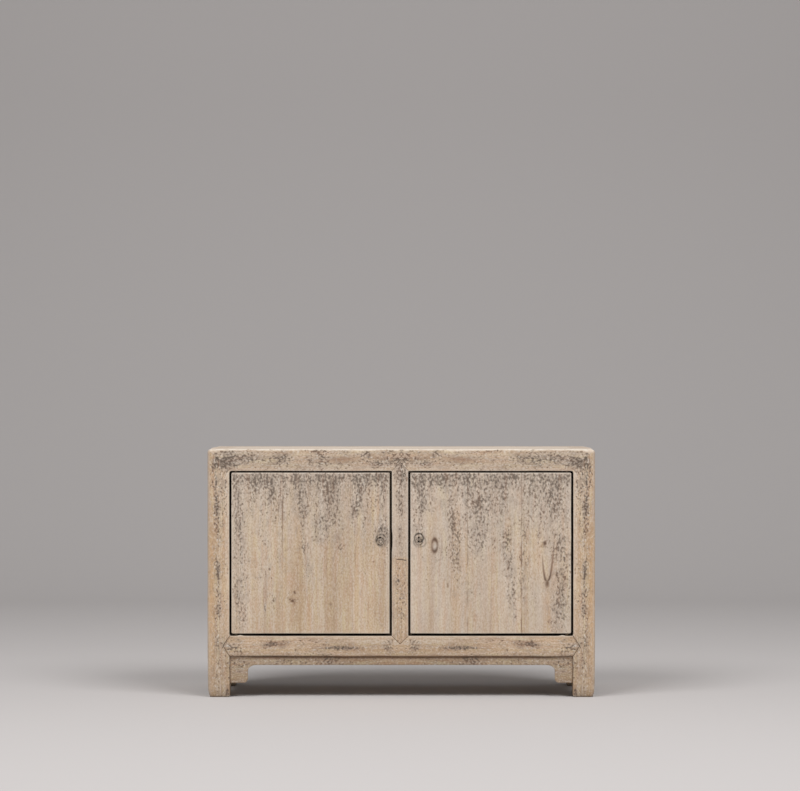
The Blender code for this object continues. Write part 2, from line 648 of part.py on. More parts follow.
def apron_half_outline(half):
    """Lower edge of an apron from its right end to the middle: toe, bracket, cove and straight part."""
    foot = LEG_HEIGHT - APRON_DROP
    lower = LEG_HEIGHT - APRON_HEIGHT
    bracket = half - APRON_END_WIDTH
    toe = arc((bracket + APRON_TOE, foot + APRON_TOE), APRON_TOE, 270, 180)
    cove = arc((bracket - APRON_COVE, lower - APRON_COVE), APRON_COVE, 0, 90)
    return [(half + APRON_HOUSING, foot)] + toe + cove


def make_aprons(material):
    """Aprons with bracket ends under the front and side rails, let into the posts."""
    for side in ("front", "right", "left"):
        place = f"{side}_side"
        half = inner_half(side)
        top = LEG_HEIGHT - FIT
        right = apron_half_outline(half)
        left = [(-x, z) for x, z in reversed(right)]
        outline = [(half + APRON_HOUSING, top)] + right + left + [(-half - APRON_HOUSING, top)]
        back = APRON_SETBACK + APRON_THICKNESS
        add_piece(f"{side}_apron", prism_mesh(outline, APRON_SETBACK, back, "Y"), place, material)
        for hand in (-1, 1):
            cut_block([end_post(side, hand)], f"{side}_apron_housing",
                      (hand * (half - SPARE), APRON_SETBACK - FIT, LEG_HEIGHT - APRON_DROP - FIT),
                      (hand * (half + APRON_HOUSING + FIT), back + FIT, LEG_HEIGHT), place)


def make_door_stops(stop_material, peg_material):
    """A strip on each side of the centre stile that a closed door rests against, pegged to the stile."""
    back = STOP_FRONT + STOP_THICKNESS
    for name, face, hand in (("left", STILE_LEFT, -1), ("right", STILE_RIGHT, 1)):
        outer = face + hand * STOP_WIDTH
        stop = block(f"{name}_door_stop", (face + hand * FIT, STOP_FRONT, LOWER_RAIL_TOP + FIT),
                     (outer, back, TOP_RAIL_BOTTOM - FIT), "front_side", stop_material)
        for peg, level in (("lower", LOWER_RAIL_TOP + STOP_PEG_RISE),
                           ("upper", TOP_RAIL_BOTTOM - STOP_PEG_RISE)):
            low, high = ordered((outer, (STOP_FRONT + back - STOP_PEG_SIDE) / 2, level - STOP_PEG_SIDE / 2),
                                (outer - hand * STOP_PEG_LENGTH, (STOP_FRONT + back + STOP_PEG_SIDE) / 2,
                                 level + STOP_PEG_SIDE / 2))
            block(f"{name}_stop_{peg}_peg", low, high, "front_side", peg_material)
            ease = Vector((FIT, FIT, FIT))
            cut_block([stop, parts["center_stile"]], f"{name}_stop_{peg}_peg_hole", low - ease, high + ease,
                      "front_side")


def add_pins(door, place, hinge_board, material):
    """The two wooden pins that a door turns on, with their holes in the door and sockets in the rails."""
    radius = PIVOT_DIAMETER / 2
    spans = (("top", DOOR_TOP - PIVOT_IN_DOOR, TOP_RAIL_BOTTOM + PIVOT_IN_TOP_RAIL,
              parts["top_front_rail"]),
             ("bottom", LOWER_RAIL_TOP - PIVOT_IN_LOWER_RAIL, DOOR_BOTTOM + PIVOT_IN_DOOR,
              parts["lower_front_rail"]))
    upright = Matrix.Identity(4)
    for name, low, high, rail in spans:
        middle = (0.0, 0.0, (low + high) / 2)
        add_piece(f"{door}_{name}_pivot_pin", round_mesh(radius, high - low, upright), place, material,
                  middle)
        hole = add_helper(f"{door}_{name}_pivot_hole",
                          round_mesh(radius + FIT, high - low + 2 * FIT, upright), place, middle)
        boolean(hinge_board, hole, "DIFFERENCE")
        boolean(rail, hole, "DIFFERENCE")


def batten_outline(level, ease):
    """Section of a door batten: a bar behind the boards, and a dovetail let into them."""
    back = DOOR_THICKNESS / 2
    half = DOOR_BATTEN_HEIGHT / 2
    neck = DOOR_BATTEN_NECK / 2 + 2 * ease
    flare = DOOR_BATTEN_FLARE / 2 + 2 * ease
    bottom = back - DOOR_BATTEN_HOUSING - ease
    if ease:
        return [(bottom, level - flare), (back, level - neck), (back + SPARE, level - neck),
                (back + SPARE, level + neck), (back, level + neck), (bottom, level + flare)]
    bar = back + DOOR_BATTEN_THICKNESS
    return [(bottom, level - flare), (back + FIT, level - neck), (back + FIT, level - half),
            (bar, level - half), (bar, level + half), (back + FIT, level + half),
            (back + FIT, level + neck), (bottom, level + flare)]


def make_door(door, hand, outer, width, widths, board_material, batten_material):
    """Three upright boards held by two dovetailed battens, on a pair of pins.

    Local X runs from the pins towards the meeting edge when hand is 1, and away from it when -1.
    """
    place = f"{door}_pivot"
    add_empty(place, (outer + hand * PIVOT_INSET, -DEPTH / 2 + DOOR_SETBACK + DOOR_THICKNESS / 2, 0.0))
    half = DOOR_THICKNESS / 2
    edges = [-PIVOT_INSET]
    for board_width in widths:
        edges.append(edges[-1] + board_width)
    edges.append(width - PIVOT_INSET)
    boards = []
    for name, start, end in zip(DOOR_BOARD_NAMES, edges, edges[1:]):
        near = start if start == edges[0] else start + FIT / 2
        far = end if end == edges[-1] else end - FIT / 2
        boards.append(block(f"{door}_{name}_board", (hand * near, -half, DOOR_BOTTOM),
                            (hand * far, half, DOOR_TOP), place, board_material))
    add_pins(door, place, boards[0], batten_material)

    ends = (hand * (edges[0] + DOOR_BATTEN_INSET), hand * (edges[-1] - DOOR_BATTEN_INSET))
    start, end = min(ends), max(ends)
    for name, level in (("upper", DOOR_TOP - DOOR_BATTEN_RISE), ("lower", DOOR_BOTTOM + DOOR_BATTEN_RISE)):
        add_piece(f"{door}_{name}_batten", prism_mesh(batten_outline(level, 0.0), start, end, "X"),
                  place, batten_material)
        groove = add_helper(f"{door}_{name}_batten_groove",
                            prism_mesh(batten_outline(level, FIT), start - FIT, end + FIT, "X"), place)
        for board in boards:
            boolean(board, groove, "DIFFERENCE")


def make_pull_marks(plug_material):
    """Old pin holes near each meeting edge: two in the right door, one and a plugged one in the left."""
    lie_along_y = Matrix.Rotation(math.pi / 2, 4, "X")
    front = -DEPTH / 2 + DOOR_SETBACK
    upper = PULL_HEIGHT + PULL_HOLE_SPACING / 2
    lower = PULL_HEIGHT - PULL_HOLE_SPACING / 2
    left = STILE_LEFT - DOOR_SIDE_GAP - PULL_INSET
    right = STILE_RIGHT + DOOR_SIDE_GAP + PULL_INSET
    for door, across, level in (("left_door", left, upper), ("right_door", right, upper),
                                ("right_door", right, lower)):
        hole = add_helper(f"{door}_pull_hole",
                          round_mesh(PULL_HOLE_DIAMETER / 2, DOOR_THICKNESS + SPARE, lie_along_y),
                          "sideboard", (across, front + DOOR_THICKNESS / 2, level))
        boolean(parts[f"{door}_meeting_board"], hole, "DIFFERENCE")

    pivot = places["left_door_pivot"].location
    middle = Vector((left, front + PULL_PLUG_LENGTH / 2, lower)) - pivot
    add_piece("left_door_pull_plug", round_mesh(PULL_PLUG_DIAMETER / 2, PULL_PLUG_LENGTH, lie_along_y),
              "left_door_pivot", plug_material, middle)
    socket_length = PULL_PLUG_LENGTH + FIT + SPARE
    socket = add_helper("left_door_plug_socket",
                        round_mesh(PULL_PLUG_DIAMETER / 2 + FIT, socket_length, lie_along_y),
                        "left_door_pivot", middle + Vector((0.0, (FIT - SPARE) / 2, 0.0)))
    boolean(parts["left_door_meeting_board"], socket, "DIFFERENCE")


def main():
    clear_scene()
    frame_pine = wood("weathered_frame_pine", (0.48, 0.36, 0.26), 0.72)
    door_pine = wood("patinated_door_pine", (0.51, 0.40, 0.30), 0.74)
    board_pine = wood("pale_board_pine", (0.53, 0.42, 0.31), 0.70)
    inner_pine = wood("inner_pine", (0.42, 0.31, 0.21), 0.78)
    hard_wood = wood("pin_hardwood", (0.24, 0.15, 0.09), 0.60)

    make_places()
    envelope = make_envelope()
    make_posts(envelope, frame_pine)
    make_top_rails(envelope, frame_pine)
    join_top_corners()
    make_lower_rails(envelope, frame_pine)
    make_center_stile(envelope, frame_pine)
    make_rear_stile(frame_pine)
    make_side_and_back_boards(board_pine)
    make_top_boards(board_pine)
    make_floor_boards(inner_pine)
    make_shelf(inner_pine)
    make_aprons(frame_pine)
    make_door_stops(inner_pine, hard_wood)

    left_edge = -INNER_X + DOOR_SIDE_GAP
    right_edge = INNER_X - DOOR_SIDE_GAP
    make_door("left_door", 1, left_edge, STILE_LEFT - DOOR_SIDE_GAP - left_edge, LEFT_DOOR_BOARDS,
              door_pine, inner_pine)
    make_door("right_door", -1, right_edge, right_edge - STILE_RIGHT - DOOR_SIDE_GAP, RIGHT_DOOR_BOARDS,
              door_pine, inner_pine)
    make_pull_marks(hard_wood)


main()
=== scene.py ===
"""Dresses the frame of a low two-door sideboard in worn, bleached pine.

The file is laid out as a Blender add-on and is run as a script. Every piece is a surface worked out with
numpy: a section with worn arrises is carried along the timber, and its ends follow the mitres and points
of the joinery. What the eye reads as age is kept on each point of the surface: where old patina is left,
where knots and stains lie, and which arrises are rubbed pale. Painted light is kept there too: painted
highlights on the top's front and round the door openings, and painted shade in the gaps round the doors,
under the lower rail, under the feet and low down on the frame. The finishes turn all that into colour.

Lengths are in metres, +Z is up and the front faces -Y.
"""

import json
import math
from collections import namedtuple
from types import SimpleNamespace

import bmesh
import bpy
import numpy as np
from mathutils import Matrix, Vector

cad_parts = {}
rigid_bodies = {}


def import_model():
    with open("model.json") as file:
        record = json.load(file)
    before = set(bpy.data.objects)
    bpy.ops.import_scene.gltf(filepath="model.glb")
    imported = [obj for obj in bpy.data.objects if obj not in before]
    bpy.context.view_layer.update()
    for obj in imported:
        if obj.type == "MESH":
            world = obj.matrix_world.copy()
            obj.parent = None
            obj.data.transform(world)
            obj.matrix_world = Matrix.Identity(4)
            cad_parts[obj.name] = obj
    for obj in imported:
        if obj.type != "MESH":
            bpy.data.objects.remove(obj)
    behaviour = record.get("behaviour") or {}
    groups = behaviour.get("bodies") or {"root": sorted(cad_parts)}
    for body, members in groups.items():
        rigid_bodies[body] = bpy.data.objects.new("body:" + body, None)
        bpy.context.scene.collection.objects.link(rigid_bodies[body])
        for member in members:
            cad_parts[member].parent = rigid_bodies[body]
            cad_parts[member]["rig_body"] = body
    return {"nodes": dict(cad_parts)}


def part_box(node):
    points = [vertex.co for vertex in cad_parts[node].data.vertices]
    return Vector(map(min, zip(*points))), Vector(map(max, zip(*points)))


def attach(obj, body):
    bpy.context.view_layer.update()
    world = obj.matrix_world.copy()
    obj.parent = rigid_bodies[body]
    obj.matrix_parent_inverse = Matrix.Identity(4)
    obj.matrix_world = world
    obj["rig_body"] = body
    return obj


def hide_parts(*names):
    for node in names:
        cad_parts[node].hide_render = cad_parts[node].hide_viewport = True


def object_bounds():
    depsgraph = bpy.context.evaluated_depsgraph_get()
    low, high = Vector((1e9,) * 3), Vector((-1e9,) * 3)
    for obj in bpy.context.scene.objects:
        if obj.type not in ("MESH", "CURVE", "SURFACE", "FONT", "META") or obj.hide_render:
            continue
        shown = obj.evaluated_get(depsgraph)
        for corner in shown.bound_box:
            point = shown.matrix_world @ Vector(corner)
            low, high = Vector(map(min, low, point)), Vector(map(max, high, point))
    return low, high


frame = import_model()
CAD_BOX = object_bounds()

bl_info = {
    "name": "Bleached Pine Sideboard",
    "version": (1, 0, 0),
    "blender": (4, 5, 0),
    "location": "View3D > Sidebar > Sideboard",
    "description": "Dresses the frame of a two-door sideboard in worn, bleached pine",
    "category": "Object",
}

# Lines of the cabinet, read from the frame
HALF_X = CAD_BOX[1].x
HALF_Y = CAD_BOX[1].y
TOP = CAD_BOX[1].z
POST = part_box("front_left_post")[1].x + HALF_X
INNER_X = HALF_X - POST
INNER_Y = HALF_Y - POST
TOP_RAIL_BOTTOM = TOP - POST
RAIL_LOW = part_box("lower_front_rail")[0].z
RAIL_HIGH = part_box("lower_front_rail")[1].z
RAIL_MIDDLE = (RAIL_LOW + RAIL_HIGH) / 2
RAIL_HALF = (RAIL_HIGH - RAIL_LOW) / 2
RAIL_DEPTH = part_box("lower_front_rail")[1].y + HALF_Y
STILE_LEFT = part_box("center_stile")[0].x
STILE_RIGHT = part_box("center_stile")[1].x
STILE_MIDDLE = (STILE_LEFT + STILE_RIGHT) / 2
STILE_HALF = (STILE_RIGHT - STILE_LEFT) / 2
STILE_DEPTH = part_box("center_stile")[1].y + HALF_Y

# Joinery that the frame's boxes don't tell
POINT_DEPTH = 0.018  # thickness of the pointed shoulders
RAIL_POINT = 0.021  # reach of a lower rail's point into the post
STILE_POINT = 0.027  # reach of the stile's points into the rails
JOINT_GAP = 0.0003  # open line between two timbers
CLOSE_GAP = 0.0001  # the same at the mitres and the stile's upper point
APRON_HEIGHT = 0.0285
APRON_END_WIDTH = 0.0572
APRON_COVE = 0.028  # width and rise of the hollow between bracket and arch
APRON_COVE_RISE = 0.020
APRON_TOE = 0.013
APRON_END_GAP = 0.0012
APRON_ROUND = 0.0022  # radius of an apron's lower arrises
OPENING_CORNER = 0.0070  # radius in the corners of the door openings, beside a post
DOOR_CORNER = 0.0050
STILE_SIDE = 0.5  # share of those radii beside the stile
CORNER_REACH = 0.012  # how far off a rounded corner its neighbours still follow it
TAPER_HEIGHT = 0.16  # below this height the feet draw in
SLANT_HEIGHT = 0.024  # and below this one they do so steeply
BARE_EDGE = 0.025  # width of the posts' outer edges, where the patina is thinner
WARM_EDGE = 0.039  # the same, where the wood is warmer
DOOR_THICKNESS = 0.024
PLANK_CUP = 0.0004  # how far a plank is bent across its width at most
# What use has taken off the left and right sides of the doors and of the stile
DOOR_WEAR = {"left_door": (0.0009, 0.0012), "right_door": (0.0003, 0.0015)}
STILE_WEAR = (0.0004, 0.0011)
DOOR_TOP_WEAR = 0.0004
DOOR_FOOT_WEAR = 0.0010
# How dark the joints between the planks are, from the left, and the height below which each fades
SEAMS = {"left_door": ((0.9, 0.50), (0.2, 0.0)), "right_door": ((0.6, 0.0), (1.0, 0.0))}
PLANK_GAP = 0.0003  # joint between the frame's planks, pressed shut here

# Steps of the surfaces
FRAME_STEP = 0.005  # along the frame's timbers
FACE_STEP = 0.004  # across them
RAIL_FACE_STEP = FACE_STEP / 1.02
STILE_FACE_STEP = FACE_STEP / 1.5
CROWD = 0.8  # how far the steps across posts and top rails are drawn to the corners
CORNER_STEP = 0.0014  # round the corners of the openings
RAIL_REACH = 0.014  # half length of those stretches on a rail
MITRE_STEP = 0.002  # near the mitres of the top rails
MITRE_REACH = 0.04
CRACK_STEP = 0.0007  # round the stile's crack
CRACK_REACH = 0.007
DOOR_STEP = 0.0025
DOOR_EDGE_STEP = 0.006
FINE_STEP = 0.0010  # round pull marks
SIDE_STEP = 0.006  # for the boards of the sides
BOARD_STEP = 0.008  # for those of the back and the top
PLAIN_STEP = 0.012  # for boards that show little
PEG_STEP = 0.004
NOTCH_STEP = 0.0002  # to either side of the turn in a floor board's end
SMALLEST_STEP = 0.0004  # how far loose steps along a timber keep from its fixed places
ROUND_STEPS = 4  # in a quarter circle
ROUND_SIDES = 32  # in the circle of a pin
ARC_POINTS = 9  # in the toe, the sole and the cove of an apron
BRACKET_POINTS = 7  # up the side of its bracket
APRON_STEPS = 10  # down its face
END_RAMP = 0.20  # stretch over which rows turn to follow a mitre or a point
CAP_SCALES = (0.8, 0.5, 0.2)
DOUBLES = 0.000002
TINY = 1e-9
SMOOTH_ANGLE = math.radians(42)
RAIL_STRETCHES = [(place, RAIL_REACH, CORNER_STEP) for place in (-INNER_X, STILE_LEFT, STILE_RIGHT, INNER_X)]

# Axes along, across and into a timber
UPRIGHT = (2, 0, 1)
UPRIGHT_AT_SIDE = (2, 1, 0)
ALONG_X = (0, 2, 1)
ALONG_Y = (1, 2, 0)
FLAT_ALONG_X = (0, 1, 2)
FLAT_ALONG_Y = (1, 0, 2)

# Finishes with the slots of the pieces that wear them
DOOR_PINE = ("patinated_door_pine", "door_pine")
BOARD_PINE = ("bleached_board_pine", "board_pine")
INNER_PINE = ("bare_inner_pine", "inner_pine")
HARDWOOD = ("turned_hardwood", "pin_hardwood")

# Floor, backdrop, lights and camera
FLOOR_FRONT = -14.0
BACKDROP_Y = 6.2
BACKDROP_TOP = 7.0
SWEEP_RADIUS = 2.6
SWEEP_HALF = 24.0
SWEEP_POINTS = 33
LIGHT_SIZE = 3.2
LIGHT_PLACE = (2.6, -3.2, 5.9)  # of the right light, and the left one mirrors it
LIGHT_TARGET = (0.0, -0.1, 0.4)
SKY_COLOR = (1.0, 0.99, 0.98, 1.0)
SENSOR_WIDTH = 36.0

# A section's corner: its radius, or the radii on both sides of a rebate and how far that is cut
Corner = namedtuple("Corner", "first cut last", defaults=(0.0, None, 0.0))
Patch = namedtuple("Patch", "x z half_width half_height strength")
# Where a point of the frame lies
Zones = namedtuple("Zones", "depth front on_top from_opening")


def ovals(*rows):
    """Soft oval patches of the front: the middle of each, its half sizes and its strength."""
    return [Patch(*row) for row in rows]


# Old patina on the frame's front. The left and right halves match, so x is the distance from the middle.
FRAME_PATINA = ovals(
    (0.564, 0.757, 0.042, 0.014, 0.84),
    (0.580, 0.745, 0.018, 0.012, 0.66),
    (0.609, 0.744, 0.005, 0.014, 0.90),
    (0.609, 0.686, 0.005, 0.014, 0.90),
    (0.490, 0.770, 0.046, 0.014, 0.58),
    (0.386, 0.769, 0.050, 0.012, 0.46),
    (0.270, 0.764, 0.060, 0.012, 0.14),
    (0.112, 0.779, 0.016, 0.010, 0.60),
    (0.070, 0.757, 0.030, 0.012, 0.36),
    (0.014, 0.764, 0.018, 0.022, 0.36),
    (0.597, 0.767, 0.005, 0.020, 0.70),
    (0.596, 0.695, 0.006, 0.030, 0.72),
    (0.574, 0.690, 0.016, 0.050, 0.40),
    (0.597, 0.610, 0.008, 0.045, 0.66),
    (0.590, 0.520, 0.008, 0.030, 0.34),
    (0.594, 0.430, 0.005, 0.018, 0.55),
    (0.592, 0.400, 0.0045, 0.022, 0.95),
    (0.588, 0.300, 0.010, 0.080, 0.42),
    (0.595, 0.185, 0.007, 0.022, 0.55),
    (0.590, 0.100, 0.016, 0.040, 0.20),
    (0.562, 0.016, 0.010, 0.018, 0.50),
    (0.547, 0.165, 0.028, 0.022, 0.50),
    (0.408, 0.171, 0.034, 0.010, 0.62),
    (0.421, 0.169, 0.010, 0.003, 0.95),
    (0.190, 0.159, 0.060, 0.006, 0.85),
    (0.044, 0.166, 0.016, 0.020, 0.50),
    (0.236, 0.118, 0.024, 0.012, 0.72),
    (0.330, 0.118, 0.220, 0.014, 0.18),
    (0.520, 0.085, 0.030, 0.040, 0.32),
    (0.045, 0.7695, 0.007, 0.003, 0.95),
)
STILE_PATINA = ovals(
    (0.001, 0.722, 0.017, 0.050, 0.62),
    (-0.002, 0.630, 0.014, 0.050, 0.30),
    (-0.006, 0.540, 0.005, 0.030, 0.36),
    (0.002, 0.268, 0.004, 0.016, 0.75),
    (0.000, 0.310, 0.022, 0.130, 0.16),
    (-0.010, 0.374, 0.004, 0.006, 0.90),
)
LEFT_DOOR_PATINA = ovals(
    (-0.460, 0.702, 0.038, 0.030, 0.50),
    (-0.423, 0.668, 0.011, 0.036, 0.50),
    (-0.325, 0.668, 0.018, 0.060, 0.52),
    (-0.234, 0.662, 0.034, 0.068, 0.62),
    (-0.248, 0.555, 0.028, 0.052, 0.46),
    (-0.154, 0.588, 0.012, 0.042, 0.52),
    (-0.128, 0.708, 0.040, 0.020, 0.46),
    (-0.064, 0.690, 0.020, 0.044, 0.46),
    (-0.067, 0.535, 0.020, 0.040, 0.40),
    (-0.526, 0.560, 0.022, 0.160, 0.54),
    (-0.520, 0.310, 0.026, 0.125, 0.66),
    (-0.440, 0.390, 0.034, 0.080, 0.28),
    (-0.300, 0.400, 0.012, 0.060, 0.30),
    (-0.4396, 0.288, 0.003, 0.021, 0.95),
    (-0.410, 0.314, 0.008, 0.020, 0.36),
    (-0.315, 0.491, 0.014, 0.022, 0.42),
    (-0.437, 0.504, 0.008, 0.018, 0.38),
    (-0.0640, 0.540, 0.015, 0.030, 0.62),
    (-0.0675, 0.506, 0.015, 0.016, 0.50),
    (-0.060, 0.640, 0.014, 0.050, 0.40),
    (-0.318, 0.590, 0.012, 0.050, 0.36),
    (-0.305, 0.440, 0.010, 0.050, 0.26),
    (-0.505, 0.250, 0.010, 0.060, 0.22),
)
RIGHT_DOOR_PATINA = ovals(
    (0.085, 0.700, 0.050, 0.030, 0.46),
    (0.070, 0.637, 0.014, 0.052, 0.42),
    (0.112, 0.640, 0.016, 0.080, -0.60),
    (0.168, 0.568, 0.018, 0.110, 0.32),
    (0.204, 0.678, 0.025, 0.046, 0.48),
    (0.265, 0.630, 0.030, 0.066, 0.50),
    (0.262, 0.503, 0.028, 0.026, 0.46),
    (0.310, 0.700, 0.042, 0.026, 0.50),
    (0.328, 0.655, 0.006, 0.040, 0.66),
    (0.422, 0.685, 0.010, 0.030, 0.46),
    (0.508, 0.620, 0.044, 0.130, 0.30),
    (0.516, 0.420, 0.036, 0.130, 0.52),
    (0.508, 0.270, 0.042, 0.080, 0.54),
    (0.440, 0.600, 0.040, 0.070, 0.30),
    (0.250, 0.540, 0.030, 0.080, 0.46),
    (0.336, 0.560, 0.016, 0.120, 0.28),
    (0.345, 0.460, 0.018, 0.060, 0.46),
    (0.367, 0.262, 0.008, 0.026, 0.60),
    (0.356, 0.320, 0.018, 0.050, 0.50),
    (0.060, 0.540, 0.018, 0.020, 0.50),
    (0.0550, 0.509, 0.014, 0.016, 0.50),
    (0.176, 0.430, 0.014, 0.080, 0.28),
    (0.350, 0.395, 0.020, 0.060, 0.52),
    (0.394, 0.420, 0.016, 0.130, 0.42),
    (0.215, 0.370, 0.030, 0.060, 0.28),
    (0.470, 0.640, 0.030, 0.080, 0.30),
    (0.255, 0.345, 0.020, 0.040, 0.20),
    (0.425, 0.330, 0.030, 0.050, 0.20),
)
DOOR_PATINA = {"left_door": LEFT_DOOR_PATINA, "right_door": RIGHT_DOOR_PATINA}
# Each door's greying, how strongly that streaks, and its lightness
DOOR_LOOKS = {"left_door": (0.12, 0.24, 0.11), "right_door": (0.40, 0.42, 0.17)}

# Zones of the doors that bleaching has left honey-coloured or, with a strength below 0, has paled further
HONEY = ovals(
    (0.185, 0.520, 0.015, 0.090, 0.80),
    (0.410, 0.480, 0.030, 0.100, 0.80),
    (0.345, 0.520, 0.012, 0.060, 0.60),
    (0.210, 0.400, 0.030, 0.050, 0.45),
    (0.340, 0.300, 0.030, 0.080, 0.45),
    (0.520, 0.360, 0.020, 0.120, 0.50),
    (-0.110, 0.380, 0.055, 0.150, 0.25),
    (-0.085, 0.625, 0.014, 0.040, 0.80),
    (-0.500, 0.560, 0.012, 0.120, 0.45),
    (-0.210, 0.440, 0.030, 0.080, 0.40),
    (0.085, 0.400, 0.055, 0.110, -0.45),
    (0.110, 0.250, 0.090, 0.070, -0.35),
    (0.300, 0.270, 0.040, 0.070, -0.45),
)

# Knots and brown stains: centre, half sizes and how dark they are
KNOTS = ovals(
    (0.107, 0.490, 0.0120, 0.0252, 1.00),
    (0.4618, 0.4965, 0.0080, 0.0110, 0.92),
    (-0.351, 0.3105, 0.0105, 0.0064, 0.97),
    (-0.358, 0.3155, 0.0058, 0.0034, 0.78),
    (-0.3435, 0.3155, 0.0044, 0.0040, 0.78),
    (-0.344, 0.338, 0.0048, 0.0094, 0.84),
    (-0.227, 0.299, 0.0070, 0.0050, 0.50),
    (0.150, 0.362, 0.0040, 0.0080, 0.55),
)
KNOT_HEART = Patch(0.1085, 0.4860, 0.0048, 0.0110, 1.0)
FRAME_STAINS = ovals(
    (0.190, 0.768, 0.038, 0.007, 0.72),
    (0.380, 0.172, 0.016, 0.008, 0.30),
    (0.608, 0.768, 0.009, 0.008, 0.40),
    (0.558, 0.022, 0.006, 0.014, 0.55),
    (0.412, 0.172, 0.030, 0.010, 0.45),
    (0.190, 0.160, 0.050, 0.006, 0.35),
)

# Marks on the doors: rings that lost pulls left, and the pin holes in them
PULL_RINGS = ovals(
    (-0.0680, 0.5030, 0.0120, 0.0124, 1.0),
    (-0.0655, 0.5060, 0.0172, 0.0190, 0.6),
    (-0.0610, 0.5150, 0.0180, 0.0300, 0.4),
    (-0.0675, 0.5040, 0.0060, 0.0062, 0.6),
    (0.0560, 0.5132, 0.0138, 0.0150, 1.0),
    (0.0565, 0.5008, 0.0112, 0.0104, 0.9),
    (0.0595, 0.5000, 0.0195, 0.0160, 0.5),
    (0.0556, 0.5022, 0.0055, 0.0060, 0.5),
)
PULL_HOLES = ((-0.0690, 0.5142), (0.0562, 0.5150), (0.0556, 0.5022))
PULL_HOLE_RADIUS = 0.0026
PULL_HOLE_DEPTH = 0.012
PLUG_NODE = "left_door_pull_plug"
PLUG_SEAT = 0.010  # depth of the hole that the plug sits in
PLUG_GAP = 0.0004  # how much wider that hole is, all round
PULL_REACH = 0.026  # half size of the finely stepped field round a pull
RING_WIDTH = 0.0026
RING_DEPTH = 0.0007

# Other single marks
CATHEDRAL = {"x": 0.4699, "tip": 0.375, "left": (0.0161, 0.087, 0.34), "right": (0.0226, 0.127, 0.42),
             "line": 0.0021}
STILE_CRACK = {"x": 0.000, "z": 0.4450, "half": 0.0170, "fall": 0.0055, "line": 0.0015}
STILE_HOLLOW = {"z": 0.506, "half": 0.040, "depth": 0.0022}
RAIL_BUMP = {"x": 0.519, "half": 0.009, "rise": 0.0028}
POST_LINE = {"x": 0.5955, "low": 0.737, "high": 0.777, "line": 0.0016}
OPENINGS = ((-INNER_X, STILE_LEFT + STILE_WEAR[0]), (STILE_RIGHT - STILE_WEAR[1], INNER_X))


def tone(red, green, blue):
    """A colour as a screen shows it, each part from 0 to 255, turned into linear light."""
    shares = np.array((red, green, blue)) / 255.0
    linear = np.where(shares <= 0.04045, shares / 12.92, ((shares + 0.055) / 1.055) ** 2.4)
    return tuple(float(channel) for channel in linear)


def color_setting(name, description, default):
    return bpy.props.FloatVectorProperty(name=name, description=description, subtype="COLOR", size=3,
                                         min=0.0, max=1.0, default=default)


def number_setting(name, description, default, subtype="NONE", unit="NONE", **limits):
    return bpy.props.FloatProperty(name=name, description=description, default=default, subtype=subtype,
                                   unit=unit, **limits)


def length_setting(name, description, default):
    return number_setting(name, description, default, "DISTANCE", "LENGTH", min=0.0)


class PineTones(bpy.types.PropertyGroup):
    """Colours of the pine and of what age has left on it."""

    pale: color_setting("Pale pine", "Bleached early wood of the doors", tone(203, 188, 172))
    frame_pale: color_setting("Pale frame pine", "Bleached early wood of the frame", tone(204, 186, 165))
    honey: color_setting("Honey pine", "Main colour of the wood", tone(194, 170, 139))
    tan: color_setting("Tan streaks", "Darker late wood", tone(174, 145, 113))
    warm: color_setting("Warm pine", "Uncleaned honey-coloured wood", tone(198, 162, 121))
    rosy: color_setting("Rosy pine", "Reddish parts of the wood", tone(190, 158, 131))
    straw: color_setting("Straw pine", "Pale yellow parts of the wood", tone(203, 186, 152))
    red: color_setting("Resin lines", "Thin reddish lines of resin", tone(152, 118, 96))
    weathered: color_setting("Weathered pine", "Greyed wood round the patina", tone(190, 177, 164))
    film: color_setting("Film", "Thin grey film under the patina's specks", tone(152, 138, 127))
    worn_patina: color_setting("Thin patina", "Patina rubbed nearly away", tone(125, 102, 83))
    patina: color_setting("Patina", "Dark grey remains of the old surface", tone(98, 86, 76))
    # The knot brown also paints the shadow line under the lower rail.
    knot: color_setting("Knots", "Brown of knots and resin stains", tone(126, 90, 66))
    frame: color_setting("Frame pine", "Main colour of the frame", tone(187, 159, 129))
    # The rubbed colour also paints the highlights on the top's front and round the door openings.
    rubbed: color_setting("Rubbed arris", "Bare wood on worn arrises", tone(210, 202, 191))
    # The dirt colour also paints shade in the door gaps, on the stops, under the lower rail and under the
    # feet.
    dirt: color_setting("Dirt", "Dirt in joints, rings and cracks", tone(21, 14, 11))
    inside: color_setting("Inside pine", "Bare wood inside the cabinet", tone(176, 147, 114))
    hardwood: color_setting("Hardwood", "Pins, pegs and plug", tone(142, 110, 80))


class WearSizes(bpy.types.PropertyGroup):
    """How far use has rounded and warped the timbers."""

    post_arris: length_setting("Post arris", "Radius of the posts' outer edges", 0.0115)
    front_arris: length_setting("Top front arris", "Radius along the top's front and back", 0.0062)
    side_arris: length_setting("Top side arris", "Radius along the top's ends", 0.0055)
    corner_arris: length_setting("Top corner arris", "Radius at the top's corners", 0.0150)
    opening_arris: length_setting("Opening arris", "Radius round the door openings", 0.0024)
    door_arris: length_setting("Door arris", "Radius round each door", 0.0024)
    plank_arris: length_setting("Plank arris", "Radius at the joints between planks", 0.0002)
    joint_arris: length_setting("Joint arris", "Radius at the points", 0.0008)
    mitre_arris: length_setting("Mitre arris", "Radius at the mitres", 0.0002)
    board_arris: length_setting("Board arris", "Radius of the plain boards", 0.0012)
    foot_taper: length_setting("Foot taper", "How far the feet draw in on their outer sides", 0.0020)
    foot_slant: length_setting("Foot slant", "How far the feet are worn off just above the floor", 0.0050)
    foot_wear: length_setting("Foot wear", "Radius of the feet's lower edges", 0.0050)
    ripple: length_setting("Ripple", "Unevenness of the planed faces", 0.00035)
    rail_sway: length_setting("Rail sway", "Waviness of the lower rail's under edge", 0.0024)


